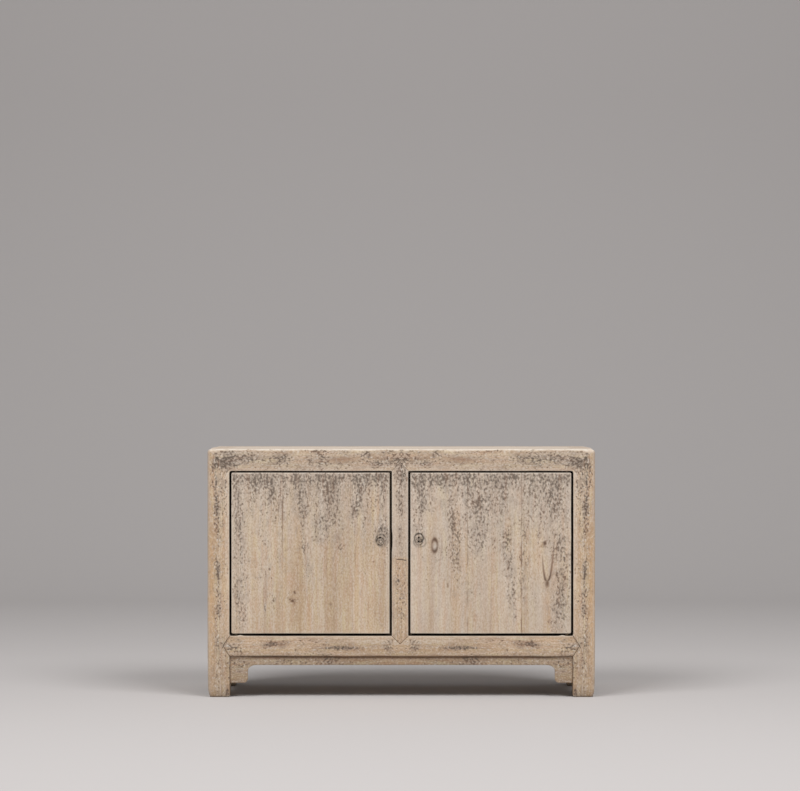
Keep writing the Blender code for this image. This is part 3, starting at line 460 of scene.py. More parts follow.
class StageSettings(bpy.types.PropertyGroup):
    """Camera, light and floor."""

    distance: length_setting("Camera distance", "From the camera to the cabinet's front", 8.70)
    height: length_setting("Camera height", "Height of the camera above the floor", 1.0116)
    offset: number_setting("Camera offset", "Camera's place left or right", -0.0044, "DISTANCE", "LENGTH")
    lens: number_setting("Focal length", "On a sensor 36 mm wide", 121.53, "DISTANCE_CAMERA", "CAMERA")
    tilt: number_setting("Tilt", "Upward tilt of the camera", math.radians(-0.256), "ANGLE", "ROTATION")
    key_power: number_setting("Key lights", "Power of each of the two soft lights", 280.0, "POWER", "POWER")
    sky: number_setting("Fill", "Strength of the even light from all round", 0.335)
    floor: color_setting("Floor", "Colour of the floor and backdrop", tone(184, 180, 179))


def smooth_step(share):
    """0 up to share 0, 1 from share 1, and an S-shaped rise between."""
    held = np.clip(share, 0.0, 1.0)
    return held * held * (3.0 - 2.0 * held)


def lattice_value(cells, seed):
    """A fixed number from 0 to 1 for each cell of a lattice, from its three whole numbers."""
    mixed = cells[..., 0] * 73856093 ^ cells[..., 1] * 19349663 ^ cells[..., 2] * 83492791 ^ seed * 2654435761
    mixed = (mixed ^ mixed >> 13) & 0xFFFFFFFF
    mixed = mixed * 1274126177 & 0xFFFFFFFF
    return (mixed ^ mixed >> 16) / 0xFFFFFFFF


def smooth_noise(points, cell, seed):
    """Values from -1 to 1: the lattice's fixed numbers, blended smoothly between its cells.

    The cell is one size for all three axes, or one for each.
    """
    scaled = points / np.asarray(cell)
    base = np.floor(scaled).astype(np.int64)
    ease = smooth_step(scaled - base)
    total = np.zeros(points.shape[:-1])
    for step in np.ndindex(2, 2, 2):
        weight = np.where(step, ease, 1.0 - ease).prod(axis=-1)
        total += weight * lattice_value(base + step, seed)
    return 2.0 * total - 1.0


def stations(start, end, pitch, crowded=(), exact=()):
    """Places along a timber: even steps, finer ones round each crowded place, and some exact ones.

    A crowded place is its middle, its reach to either side and its finer pitch.
    """
    parts = [np.linspace(start, end, max(2, round((end - start) / pitch)) + 1)]
    for middle, reach, finer in crowded:
        parts.append(np.arange(middle - reach, middle + reach + finer / 2, finer))
    loose = np.unique(np.concatenate(parts))
    loose = loose[(loose > start) & (loose < end)]
    fixed = np.concatenate(((start,), np.asarray(exact, float), (end,)))
    near = np.abs(loose[:, None] - fixed[None, :]).min(axis=1)
    return np.unique(np.concatenate((loose[near > SMALLEST_STEP], fixed)))


def side_shares(length, pitch, crowd=0.0, extra=()):
    """Places along a section's side as shares of it: even steps, drawn towards the corners by crowd."""
    count = max(2, round(length / pitch))
    shares = np.arange(1, count) / count
    drawn = shares - crowd * np.sin(2.0 * math.pi * shares) / (2.0 * math.pi)
    return np.unique(np.concatenate((drawn, extra)))


# A section runs round its four corners: low-low, high-low, high-high and low-high in (across, deep).
# Face number i lies before corner i, and TURNS[i] is the way the outline goes along it.
TURNS = np.array(((0.0, -1.0), (1.0, 0.0), (0.0, 1.0), (-1.0, 0.0)))
CORNER_NUMBER = {(-1, -1): 0, (1, -1): 1, (1, 1): 2, (-1, 1): 3}
LEFT_FACE = 0
FRONT_FACE = 1
RIGHT_FACE = 2


def quarter_round(vertex, radius, number):
    """A quarter circle in place of a corner: its centre plus the radius times a turning spoke."""
    if isinstance(radius, float) and radius == 0.0:
        return vertex[:, None, :]
    coming = TURNS[number]
    going = TURNS[(number + 1) % 4]
    angle = np.linspace(0.0, math.pi / 2, ROUND_STEPS + 1)
    spokes = np.outer(np.sin(angle), coming) - np.outer(np.cos(angle), going)
    size = np.broadcast_to(radius, len(vertex))[:, None, None]
    center = vertex[:, None, :] + size * (going - coming)
    return center + size * spokes


def corner_points(number, spot, corner, rows):
    """The outline's points at one corner: a round, or the three turns of a rebate cut into it."""
    vertex = np.tile(np.asarray(spot, float), (rows, 1))
    if corner.cut is None:
        return quarter_round(vertex, corner.first, number)
    coming = TURNS[number]
    going = TURNS[(number + 1) % 4]
    back, ahead = (np.broadcast_to(reach, rows)[:, None] for reach in corner.cut)
    first = vertex - back * coming
    inner = first + ahead * going
    last = vertex + ahead * going
    return np.concatenate((quarter_round(first, corner.first, number), inner[:, None, :],
                           quarter_round(last, corner.last, number)), axis=1)


def section_loop(low, high, corners, sides, rows):
    """The closed outline of a section at each row: its corners joined by evenly divided sides."""
    spots = ((low[0], low[1]), (high[0], low[1]), (high[0], high[1]), (low[0], high[1]))
    groups = [corner_points(i, spots[i], corners[i], rows) for i in range(4)]
    stretches = []
    for i in range(4):
        start = groups[i][:, -1:, :]
        reach = groups[(i + 1) % 4][:, :1, :] - start
        stretches += [groups[i], start + reach * sides[i][None, :, None]]
    return np.concatenate(stretches, axis=1)


def notched(number, face, reach, radius):
    """A corner with a V notch let into one of its two faces, as deep as a pointed shoulder is thick."""
    depth = POINT_DEPTH + JOINT_GAP
    if number == face:
        return Corner(radius, (reach, depth), 0.0)
    return Corner(0.0, (depth, reach), radius)


def notch_growth(half, reach, gap):
    """How much larger a V notch is than the point in it, so that a gap stays all round."""
    return 1.0 + gap * math.hypot(reach, half) / (reach * half)


def grown_notch(places, middle, half, reach, gap=JOINT_GAP):
    """Reach of a V notch at each place: a triangle that stands off the point by the joint's gap."""
    growth = notch_growth(half, reach, gap)
    return growth * reach * np.clip(1.0 - np.abs(places - middle) / (half * growth), 0.0, None)


def notch_ends(middle, half, reach, gap=JOINT_GAP):
    """Where a V notch starts, turns and ends."""
    growth = notch_growth(half, reach, gap)
    return middle - half * growth, middle, middle + half * growth


def corner_shift(u, v, radius):
    """Shift that turns a square corner into a quarter circle, for points on either side of it.

    u and v run from the corner along its two edges. The edge point at a distance of up to the radius goes
    to the circle, at an angle that falls from 45 degrees at the corner to 0, and points off the edge follow
    it less the further off they lie.
    """
    beside = np.clip(np.maximum(u, v), 0.0, radius)
    turn = math.pi / 4 * (1.0 - beside / radius)
    weight = np.exp(-(np.minimum(u, v) / CORNER_REACH) ** 2)
    off_edge = radius * (1.0 - np.cos(turn)) * weight
    along_edge = (radius * (1.0 - np.sin(turn)) - beside) * weight
    upright = u < v
    return np.where(upright, off_edge, along_edge), np.where(upright, along_edge, off_edge)


def round_corners(points, left, right, low, high, radius, share=1.0):
    """Points near the four corners of an upright rectangle, shifted so that its corners are round."""
    moved = points.copy()
    for x, hand in ((left, 1.0), (right, -1.0)):
        beside = radius if abs(x) > HALF_X / 2 else STILE_SIDE * radius
        for z, up in ((low, 1.0), (high, -1.0)):
            u_shift, v_shift = corner_shift((points[:, 0] - x) * hand, (points[:, 2] - z) * up, beside)
            moved[:, 0] += share * hand * u_shift
            moved[:, 2] += share * up * v_shift
    return moved


def fill_openings(points):
    """The frame's front layer with its door openings rounded in their corners."""
    layer = 1.0 - smooth_step((points[:, 1] + HALF_Y - 0.020) / 0.008)
    for left, right in OPENINGS:
        points = round_corners(points, left, right, RAIL_HIGH, TOP_RAIL_BOTTOM, OPENING_CORNER, layer)
    return points


def flat_end(level):
    """An end that is flat at a level."""
    return lambda across, deep: np.full(across.shape, level)


def pointed_end(level, hand, middle, half, reach, outer):
    """An end that runs on in a point through the outer layer, and stops at the level behind it."""
    def surface(across, deep):
        layer = outer - np.abs(deep) < POINT_DEPTH
        point = reach * np.clip(1.0 - np.abs(across - middle) / half, 0.0, None)
        return level + hand * np.where(layer, point, 0.0)
    return surface


def end_rows(surface, loop, low, high, radius, inwards):
    """Rows that close an end: a worn round, then the section drawn in towards its middle."""
    rows = []
    rim = loop
    if radius:
        for turn in np.linspace(0.0, math.pi / 2, ROUND_STEPS + 1)[1:]:
            inset = radius * (1.0 - math.cos(turn))
            rim = np.clip(loop, np.asarray(low) + inset, np.asarray(high) - inset)
            rows.append((rim, surface(rim[:, 0], rim[:, 1]) + inwards * radius * (1.0 - math.sin(turn))))
    middle = (np.asarray(low) + np.asarray(high)) / 2.0
    for scale in CAP_SCALES:
        drawn = middle + (rim - middle) * scale
        rows.append((drawn, surface(drawn[:, 0], drawn[:, 1])))
    return rows


def timber(axes, low, high, places, corners, sides, start=None, end=None, rounds=(0.0, 0.0)):
    """A section carried along a timber, with ends that follow a surface.

    axes are the world axes that run along, across and into the timber. Each row lies at its place, and
    over the last stretch it bends to follow the end's surface, which gives a length for each point of the
    section. Returns the grid of points, the two middle points that close it, and how far each is from an end.
    """
    first, last = places[0], places[-1]
    start = start or flat_end(first - rounds[0])
    end = end or flat_end(last + rounds[1])
    loop = section_loop(low, high, corners, sides, len(places))
    ramp = min(END_RAMP, 0.45 * (last - first))
    pull_start = 1.0 - smooth_step((places - first) / ramp)
    pull_end = 1.0 - smooth_step((last - places) / ramp)
    begin = start(loop[..., 0], loop[..., 1])
    finish = end(loop[..., 0], loop[..., 1])
    along = (places[:, None] + pull_start[:, None] * (begin + rounds[0] - first)
             + pull_end[:, None] * (finish - rounds[1] - last))

    before = end_rows(start, loop[0], low, high, rounds[0], 1.0)[::-1]
    after = end_rows(end, loop[-1], low, high, rounds[1], -1.0)
    loops = np.concatenate([[row[0] for row in before], loop, [row[0] for row in after]])
    lengths = np.concatenate([[row[1] for row in before], along, [row[1] for row in after]])
    near_end = np.minimum(lengths - start(loops[..., 0], loops[..., 1]),
                          end(loops[..., 0], loops[..., 1]) - lengths)

    grid = np.empty((*lengths.shape, 3))
    grid[..., axes[0]] = lengths
    grid[..., axes[1]] = loops[..., 0]
    grid[..., axes[2]] = loops[..., 1]
    middle = (np.asarray(low) + np.asarray(high)) / 2.0
    tips = np.empty((2, 3))
    tips[:, axes[1]] = middle[0]
    tips[:, axes[2]] = middle[1]
    tips[0, axes[0]] = start(middle[:1], middle[1:])[0]
    tips[1, axes[0]] = end(middle[:1], middle[1:])[0]
    return grid, tips, np.append(near_end.ravel(), (0.0, 0.0))


def closed_faces(points, rows, columns):
    """Four-sided faces between the loops of a grid, and fans to the two points that close it, facing out."""
    index = np.arange(rows * columns).reshape(rows, columns)
    following = np.roll(index, -1, axis=1)
    quads = np.stack((index[:-1], following[:-1], following[1:], index[1:]), axis=-1).reshape(-1, 4)
    count = rows * columns
    first_fan = np.stack((following[0], index[0], np.full(columns, count)), axis=-1)
    last_fan = np.stack((index[-1], following[-1], np.full(columns, count + 1)), axis=-1)
    fans = np.concatenate((first_fan, last_fan))
    triangles = np.concatenate((quads[:, :3], quads[:, (0, 2, 3)], fans))
    a, b, c = (points[triangles[:, i]] for i in range(3))
    if np.einsum("ij,ij->i", a, np.cross(b, c)).sum() < 0.0:
        quads = quads[:, ::-1]
        fans = fans[:, ::-1]
    return quads.tolist() + fans.tolist()


def ripple(points, amount, seed):
    """Each point moved by slow noise in all three directions, so that no face is dead flat."""
    moved = points.copy()
    for axis in range(3):
        moved[:, axis] += amount * smooth_noise(points, 0.075, seed + axis)
        moved[:, axis] += 0.4 * amount * smooth_noise(points, 0.019, seed + axis + 3)
    return moved


def drawn_in(height, sizes):
    """How far the feet's outer sides are drawn in: a slow taper, and a steep one just above the floor."""
    slow = np.clip(1.0 - height / TAPER_HEIGHT, 0.0, None) ** 1.3
    steep = np.clip(1.0 - height / SLANT_HEIGHT, 0.0, None) ** 1.2
    return sizes.foot_taper * slow + sizes.foot_slant * steep


def top_radius(points, plan, sizes):
    """Radius of the top's arris: one along the front, another at the ends and a third at the corners."""
    to_end = smooth_step((plan[:, 0] - HALF_X + 0.045) / 0.04)
    to_corner = smooth_step((plan[:, 1] - HALF_Y + 0.20) / 0.17)
    at_end = sizes.side_arris + (sizes.corner_arris - sizes.side_arris) * to_corner
    radius = sizes.front_arris * (1.0 - to_end) + at_end * to_end
    return radius * (1.0 + 0.40 * smooth_noise(points, (0.06, 0.06, 1.0), 12)
                     + 0.25 * smooth_noise(points, (0.021, 0.021, 1.0), 13))


def kept_reach(first, second, radius, where):
    """Share of its two distances that a point keeps when it is drawn in to a radius."""
    reach = np.hypot(first, second)
    return np.where(where & (reach > radius), radius / np.maximum(reach, TINY), 1.0)


def wear_envelope(points, sizes):
    """Draws points in to the cabinet's worn outer shape, and says how far each lies on an arris.

    In plan the shape is a rectangle with quarter-round corners. Towards the top, the distance to that
    outline and the height turn over together in a round, larger at the ends than along the front. Both
    radii drift along the edges.
    """
    sign = np.where(points[:, :2] < 0.0, -1.0, 1.0)
    height = points[:, 2]
    half = np.array((HALF_X, HALF_Y)) - drawn_in(height, sizes)[:, None]
    plan = np.minimum(np.abs(points[:, :2]), half)
    radius = sizes.post_arris * (1.0 + 0.35 * smooth_noise(points, 0.085, 11))
    core = half - radius[:, None]
    over = np.maximum(plan - core, 0.0)
    in_corner = over.min(axis=1) > 0.0
    kept = kept_reach(over[:, 0], over[:, 1], radius, in_corner)
    plan = np.where(in_corner[:, None], core + over * kept[:, None], plan)
    rubbed = np.where(in_corner, over.min(axis=1) / radius * 0.7, 0.0)

    beyond = plan - core
    outside = np.maximum(beyond, 0.0)
    inside = radius - np.hypot(outside[:, 0], outside[:, 1]) - np.minimum(beyond.max(axis=1), 0.0)
    turn = top_radius(points, plan, sizes)
    rise = np.maximum(height - (TOP - turn), 0.0)
    edge = np.maximum(turn - inside, 0.0)
    on_top = (rise > 0.0) & (edge > 0.0)
    kept = kept_reach(rise, edge, turn, on_top)
    along_x = beyond[:, 0] >= beyond[:, 1]
    to_side = np.stack((along_x, ~along_x), axis=1).astype(float)
    to_corner = outside / np.maximum(np.linalg.norm(outside, axis=1), TINY)[:, None]
    outwards = np.where(in_corner[:, None], to_corner, to_side)
    plan = plan - outwards * (edge * (1.0 - kept))[:, None]
    height = np.where(on_top, TOP - turn + rise * kept, height)
    # On the top's arris the rubbing is partly real wear and partly a painted highlight.
    rubbed = np.maximum(rubbed, np.where(on_top, np.minimum(rise, edge) / turn * 1.8, 0.0))
    return np.column_stack((plan * sign, height)), np.clip(rubbed, 0.0, 1.0)


def patches_over(points, patches, mirrored=False):
    """How much of a set of soft-edged oval patches covers each point, joined as if laid over each other."""
    x = np.abs(points[:, 0]) if mirrored else points[:, 0]
    left = np.ones(len(points))
    for patch in patches:
        reach = ((x - patch.x) / patch.half_width) ** 2 + ((points[:, 2] - patch.z) / patch.half_height) ** 2
        left *= 1.0 - patch.strength * np.exp(-0.8 * reach ** 1.3)
    return 1.0 - left


def oval_distance(points, patch):
    """0 at an oval's middle, 1 on its rim, and so on outwards."""
    return np.hypot((points[:, 0] - patch.x) / patch.half_width, (points[:, 2] - patch.z) / patch.half_height)


def line_over(distance, width):
    """A soft line where a distance is about 0."""
    return np.exp(-(distance / width) ** 2)


def knots_over(points):
    """Brown of knots: the full ones are dark rims round a paler heart, the lesser ones ragged smudges."""
    stain = blank(points)
    ragged = 1.0 + 0.8 * smooth_noise(points, 0.005, 51)
    for knot in KNOTS:
        rim = oval_distance(points, knot)
        tail = np.exp(-((points[:, 0] - knot.x) / (0.6 * knot.half_width)) ** 2)
        tail *= np.exp(-np.abs(points[:, 2] - knot.z) / (2.4 * knot.half_height))
        upright = np.abs(points[:, 2] - knot.z) / knot.half_height
        leaning = np.clip(0.64 + 0.50 * upright - 0.14 * (points[:, 0] < knot.x), 0.0, 1.0)
        ring = leaning * line_over(rim - 0.76, 0.30) + 0.06 * np.exp(-(rim / 0.7) ** 4)
        mark = ring if knot.strength == 1.0 else np.exp(-(ragged * rim / 0.8) ** 2)
        stain = np.maximum(stain, knot.strength * (mark + 0.20 * tail))
    return np.clip(stain, 0.0, 1.0)


def bent_grain(points, across):
    """Grain that swings round the knots: the place across the grain is pushed away from each heart."""
    bent = across.copy()
    for knot in KNOTS:
        offset = points[:, 0] - knot.x
        near = np.exp(-(offset / (3.0 * knot.half_width)) ** 2)
        near *= np.exp(-((points[:, 2] - knot.z) / (2.2 * knot.half_height)) ** 2)
        bent -= near * 0.4 * offset
    return bent


def cathedral_lines(points):
    """A pointed arch of late wood: two arms that part as a power of the height, and a smear at the tip."""
    figure = CATHEDRAL
    offset = points[:, 0] - figure["x"]
    height = points[:, 2] - figure["tip"]
    rise = np.clip(height, 0.0, None)
    lines = blank(points)
    for hand, (reach, tall, power) in ((-1.0, figure["left"]), (1.0, figure["right"])):
        arm = hand * reach * (rise / tall) ** power
        fade = smooth_step((1.30 * tall - rise) / (0.9 * tall)) * (height > 0.0)
        width = figure["line"] * (1.55 - 0.95 * rise / tall)
        lines = np.maximum(lines, line_over(offset - arm, width) * fade)
    smear = np.exp(-(offset / 0.0065) ** 2 - ((height + 0.007) / 0.013) ** 2)
    return np.maximum(lines, 0.80 * smear)


def opening_distance(points):
    """Distance to the nearest edge of a door opening, on the frame's front face."""
    nearest = np.full(len(points), 1.0)
    for left, right in OPENINGS:
        outside_x = np.maximum(np.maximum(left - points[:, 0], points[:, 0] - right), 0.0)
        outside_z = np.maximum(np.maximum(RAIL_HIGH - points[:, 2], points[:, 2] - TOP_RAIL_BOTTOM), 0.0)
        nearest = np.minimum(nearest, np.hypot(outside_x, outside_z))
    return nearest


def streaks_from_top(points, top, fall, seed):
    """Patina that hangs down from a top edge in columns of uneven length."""
    spread = points * (1.0, 1.0, 0.08)
    columns = 0.5 + 0.5 * smooth_noise(spread, 0.021, seed)
    wide = 0.5 + 0.5 * smooth_noise(spread, 0.070, seed + 1)
    reach = fall * (0.40 + 0.9 * columns * columns + 0.8 * wide)
    depth = np.clip(top - points[:, 2], 0.0, None)
    return np.exp(-(depth / reach) ** 1.4) * (0.70 + 0.30 * columns)


def along_grain(points, axis, cell, seed):
    """Noise in streaks along one axis, broad ones with finer ones among them, the same left and right."""
    drawn = np.abs(points) * np.where(np.arange(3) == axis, 0.06, 1.0)
    return smooth_noise(drawn, cell, seed) + 0.6 * smooth_noise(drawn, cell / 3.0, seed + 1)


def cloudy(points, cell, seed, low, high):
    """Slow noise cut off below a level, for patina that lies in clouds."""
    finer = smooth_noise(points, np.asarray(cell) / 3, seed + 7)
    value = 0.5 + 0.35 * smooth_noise(points, cell, seed) + 0.15 * finer
    return smooth_step((value - low) / (high - low))


def blank(points):
    """0 at every point."""
    return np.zeros(len(points))


def even(value):
    """A function that gives the same value at every point."""
    return lambda points: value


def store(mesh, name, values):
    """Keeps three numbers for each point of a mesh under a name."""
    layer = mesh.attributes.new(name, "FLOAT_VECTOR", "POINT")
    layer.data.foreach_set("vector", np.ascontiguousarray(values, dtype=np.float32).ravel())


def seed_of(node):
    """A whole number that stays the same for a node's name."""
    return sum((place + 1) * ord(letter) for place, letter in enumerate(node)) % 9973


def grain_of(node, points, axes, slot):
    """The place along, across and into the timber, shifted for each piece so that no two match.

    The left and right halves of the frame do match. On the doors the grain swings round the knots.
    """
    matched = slot == "frame_pine" and "stile" not in node
    number = seed_of(node.replace("right", "left") if matched else node)
    draw = np.random.default_rng(number)
    placed = points.copy()
    if matched:
        placed[:, 0] = -np.abs(points[:, 0])
    along, across, deep = (placed[:, axis] for axis in axes)
    slope = draw.uniform(-0.012, 0.012)
    wave = 0.004 * smooth_noise(placed, 0.11, number)
    if slot == "door_pine":
        across = bent_grain(points, across)
    return np.column_stack((along, across + slope * along + wave, deep)) + draw.uniform(-9.0, 9.0, 3)


def add_piece(node, points, faces, axes, finish, slot, marks, wear, merge=False):
    """Makes a mesh that stands for a node, with its grain, marks and wear on every point.

    Marks are the patina, the stains and the dirt lines, with painted shade among the stains and the dirt.
    Wear is the rubbing, the tone and the greying, with painted highlights in the rubbing and painted shade
    in the tone.
    """
    rubbed, tones, grey = wear
    mesh = bpy.data.meshes.new(f"aged_{node}")
    mesh.from_pydata(points.tolist(), [], faces)
    store(mesh, "grain", grain_of(node, points, axes, slot))
    store(mesh, "marks", np.clip(np.column_stack(marks), 0.0, 1.0))
    store(mesh, "wear", np.column_stack((np.clip(rubbed, 0.0, 1.0), tones, np.clip(grey, -1.0, 1.5))))
    if merge:
        shape = bmesh.new()
        shape.from_mesh(mesh)
        bmesh.ops.remove_doubles(shape, verts=shape.verts, dist=DOUBLES)
        shape.to_mesh(mesh)
        shape.free()
    mesh.shade_smooth()
    mesh.set_sharp_from_angle(angle=SMOOTH_ANGLE)
    mesh.materials.append(bpy.data.materials[finish])

    piece = bpy.data.objects.new(f"aged_{node}", mesh)
    bpy.context.scene.collection.objects.link(piece)
    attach(piece, frame["nodes"][node]["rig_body"])
    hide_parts(node)


def piece_tone(node, spread=0.5):
    """A lightness shift of a whole piece, up to the spread either way."""
    return np.random.default_rng(seed_of(node) + 1).uniform(-spread, spread)


def painted_gap_shade(depth):
    """Painted shade in a door's gap: none on the front face, most just behind it, less further in."""
    return smooth_step((depth - 0.0002) / 0.0012) * (1.0 - 0.70 * smooth_step((depth - 0.005) / 0.012))


def frame_zones(still):
    """Depth behind the front face, how far a point is on the front and the top, and its way to an opening."""
    face = still[:, 1].min()
    depth = still[:, 1] - (face if face < -INNER_Y else -HALF_Y)
    front = 1.0 - smooth_step((depth - 0.004) / 0.008)
    on_top = smooth_step((still[:, 2] - TOP + 0.004) / 0.003)
    return Zones(depth, front, on_top, opening_distance(still))


def frame_rubbing_and_highlight(still, zones, rubbed, envelope):
    """Bare wood on worn arrises, uneven along them, a painted highlight on the top's front, and round the
    openings a pale edge that is partly worn wood and partly painted highlight.
    """
    uneven = 0.82 + 0.55 * smooth_noise(still, 0.016, 33) + 0.36 * smooth_noise(still, 0.006, 34)
    if envelope:
        # Painted highlight on the front part of the top.
        near_front = 1.0 - smooth_step((zones.depth - 0.030) / 0.05)
        rubbed = np.maximum(rubbed, 0.84 * zones.on_top * near_front)
    # Partly worn bare wood and partly a painted highlight on the lit arrises round the openings.
    at_opening = 0.85 * zones.front * np.exp(-zones.from_opening / 0.0035)
    return np.maximum(rubbed * np.clip(uneven, 0.0, 1.0), at_opening)


def frame_density(still, zones, rubbed, patina):
    """Patina that is left: patches and sparse specks on the front, clouds on the other faces."""
    other = cloudy(still, 0.055, 31, 0.42, 0.80) * (0.28 + 0.30 * smooth_step((still[:, 2] - 0.45) / 0.3))
    sparse = 0.24 + 0.10 * smooth_step((still[:, 2] - 0.4) / 0.3) + 0.45 * other
    given = patina(still) if patina else blank(still)
    given = 1.0 - (1.0 - given) * (1.0 - sparse * (1.0 - 0.60 * np.exp(-zones.from_opening / 0.010)))
    given = given * (1.0 - 0.45 * smooth_step((np.abs(still[:, 0]) - HALF_X + BARE_EDGE) / 0.012))
    behind = (1.0 - zones.front) * (1.0 - zones.on_top) * np.maximum(other, 0.8 * sparse)
    density = zones.front * given + behind + 0.10 * zones.on_top * other
    return density * (1.0 - 0.85 * rubbed)


def frame_dirt_and_shade(still, zones, joint, lines):
    """Dirt in joints and along the given lines, with painted shade in the door gaps and under the feet."""
    gap_shade = painted_gap_shade(zones.depth) * (1.0 - smooth_step((zones.depth - DOOR_THICKNESS - 0.006) / 0.008))
    dirt = np.maximum(0.50 * joint, 0.97 * gap_shade * np.exp(-zones.from_opening / 0.0014))
    # Painted contact shadow along the foot of each post.
    dirt = np.maximum(dirt, 0.75 * line_over(still[:, 2], 0.0040))
    return np.maximum(dirt, zones.front * lines(still)) if lines else dirt


def frame_grey(still, zones, density, axis):
    """Greying with the patina and on top, in streaks along the grain, and less on the posts' outer edges."""
    warm = smooth_step((np.abs(still[:, 0]) - HALF_X + WARM_EDGE) / 0.024)
    warm = warm * (1.0 - zones.on_top) * (1.0 - 0.6 * density)
    warm = warm * (1.0 - 0.80 * smooth_step((zones.depth - 0.008) / 0.025))
    grey = np.clip(0.9 * density + 1.4 * zones.on_top, 0.0, 1.4) - 0.18 * warm
    return grey + 0.26 * along_grain(still, axis, 0.012, 37)


def front_patina(points):
    """Patina of the frame's front."""
    return patches_over(points, FRAME_PATINA, mirrored=True)


def frame_stains(points):
    """Brown stains on the front, with a broken line of them under the top's worn arris."""
    broken = smooth_step((smooth_noise(points, (0.026, 1.0, 1.0), 91) + 0.05) / 0.5)
    under_arris = 0.25 * broken * line_over(points[:, 2] - TOP + 0.0100, 0.0030)
    return np.maximum(patches_over(points, FRAME_STAINS, mirrored=True), under_arris)


def dress_frame(node, axes, shape, sizes, envelope=False, patina=None, lines=None, joint_dirt=0.6,
                stains=frame_stains, lighter=even(0.0), greyed=even(0.0)):
    """Finishes a timber of the frame: worn shape, patina on the front, rubbed arrises and dirty joints.

    Some of it is painted light: a highlight on the top's front and round the openings, and shade in the gaps
    round the doors, under the feet and towards the floor. Patina, lines of dirt or painted shadow, stains,
    and what is added to the lightness, which on the aprons and the posts is painted shade, and to the greying
    are functions of the points.
    """
    grid, tips, near_end = shape
    still = np.concatenate((grid.reshape(-1, 3), tips))
    rubbed = blank(still)
    if envelope:
        still, rubbed = wear_envelope(still, sizes)
    points = ripple(fill_openings(still), sizes.ripple, seed_of(node))
    points[:, 2] = np.maximum(points[:, 2], 0.0)
    faces = closed_faces(points, *grid.shape[:2])

    zones = frame_zones(still)
    rubbed = frame_rubbing_and_highlight(still, zones, rubbed, envelope)
    density = frame_density(still, zones, rubbed, patina)
    joint = joint_dirt * np.exp(-np.clip(near_end, 0.0, None) / 0.0026)
    dirt = frame_dirt_and_shade(still, zones, joint, lines)
    grey = frame_grey(still, zones, density, axes[0]) + greyed(still)
    # Painted shade: the frame gets darker towards the floor.
    painted_floor_shade = 1.0 - smooth_step(still[:, 2] / 0.20)
    tones = piece_tone(node, 0.15) + 0.03 - 0.70 * painted_floor_shade + lighter(still)
    tones = tones + 0.25 * zones.front * np.exp(-zones.from_opening / 0.014) - 0.30 * zones.on_top
    marks = (density, np.maximum(zones.front * stains(still), joint), dirt)
    add_piece(node, points, faces, axes, "worn_frame_pine", "frame_pine", marks, (rubbed, tones, grey),
              merge=True)


def stains_and_rail_shadow(points):
    """Stains of the front, with a brown painted shadow line where the apron meets the lower rail."""
    return np.maximum(frame_stains(points), np.exp(-np.abs(points[:, 2] - RAIL_LOW + 0.0034) / 0.0042))


def rail_shadow(points):
    """Painted shadow under the lower rail, on the apron where it meets the rail."""
    return 0.42 * np.exp(-np.abs(points[:, 2] - RAIL_LOW + 0.0040) / 0.0030)


def post_line(points):
    """A short upright line of dirt near the top of each front post."""
    line = POST_LINE
    below = smooth_step((line["high"] - points[:, 2]) / 0.006)
    within = smooth_step((points[:, 2] - line["low"]) / 0.006) * below
    return 0.55 * within * line_over(np.abs(points[:, 0]) - line["x"], line["line"])


def painted_foot_shade(points):
    """Painted shade: posts are a little darker from the lower rails down to just above the floor."""
    return -0.32 * smooth_step(points[:, 2] / 0.16) * (1.0 - smooth_step((points[:, 2] - 0.18) / 0.06))


def post_grey(points):
    """Posts are greyer in their upper part and warmer in the lower one."""
    return 0.02 - 0.46 * (1.0 - smooth_step((points[:, 2] - 0.48) / 0.16))


def make_post(side, face, sizes):
    """A square post to the floor: notched for the rails' points, with a mitred top and a worn foot."""
    name = f"{'front' if face < 0 else 'rear'}_{'left' if side < 0 else 'right'}_post"
    low = np.array((min(side * HALF_X, side * INNER_X), min(face * HALF_Y, face * INNER_Y)))
    high = low + POST
    exact = notch_ends(RAIL_MIDDLE, RAIL_HALF, RAIL_POINT)
    levels = (RAIL_HIGH, TOP_RAIL_BOTTOM) if face < 0 else ()
    crowded = [(level, CORNER_REACH, CORNER_STEP) for level in levels]
    places = stations(sizes.foot_wear, TOP - POST / 2, FRAME_STEP, crowded, exact)
    reach = grown_notch(places, RAIL_MIDDLE, RAIL_HALF, RAIL_POINT)
    corners = [Corner(sizes.board_arris)] * 4
    corners[CORNER_NUMBER[side, face]] = Corner()
    opening = CORNER_NUMBER[-side, face]
    corners[opening] = Corner(sizes.opening_arris)
    if face < 0:
        corners[opening] = notched(opening, FRONT_FACE, reach, sizes.opening_arris)
    inner = CORNER_NUMBER[side, -face]
    corners[inner] = notched(inner, LEFT_FACE if side < 0 else RIGHT_FACE, reach, sizes.opening_arris)
    sides = [side_shares(POST, FACE_STEP, CROWD)] * 4

    def mitre(across, deep):
        return TOP - np.maximum(HALF_X - np.abs(across), HALF_Y - np.abs(deep)) - CLOSE_GAP / 2

    shape = timber(UPRIGHT, low, high, places, corners, sides, flat_end(0.0), mitre,
                   (sizes.foot_wear, sizes.mitre_arris))
    dress_frame(name, UPRIGHT, shape, sizes, True, front_patina, post_line, 0.0, lighter=painted_foot_shade,
                greyed=post_grey)


def rail_lines(side):
    """A rail's axes, the cabinet's half size along it and across it, and the hand it lies on."""
    hand = -1 if side in ("front", "left") else 1
    if side in ("front", "rear"):
        return ALONG_X, HALF_X, HALF_Y, hand
    return ALONG_Y, HALF_Y, HALF_X, hand


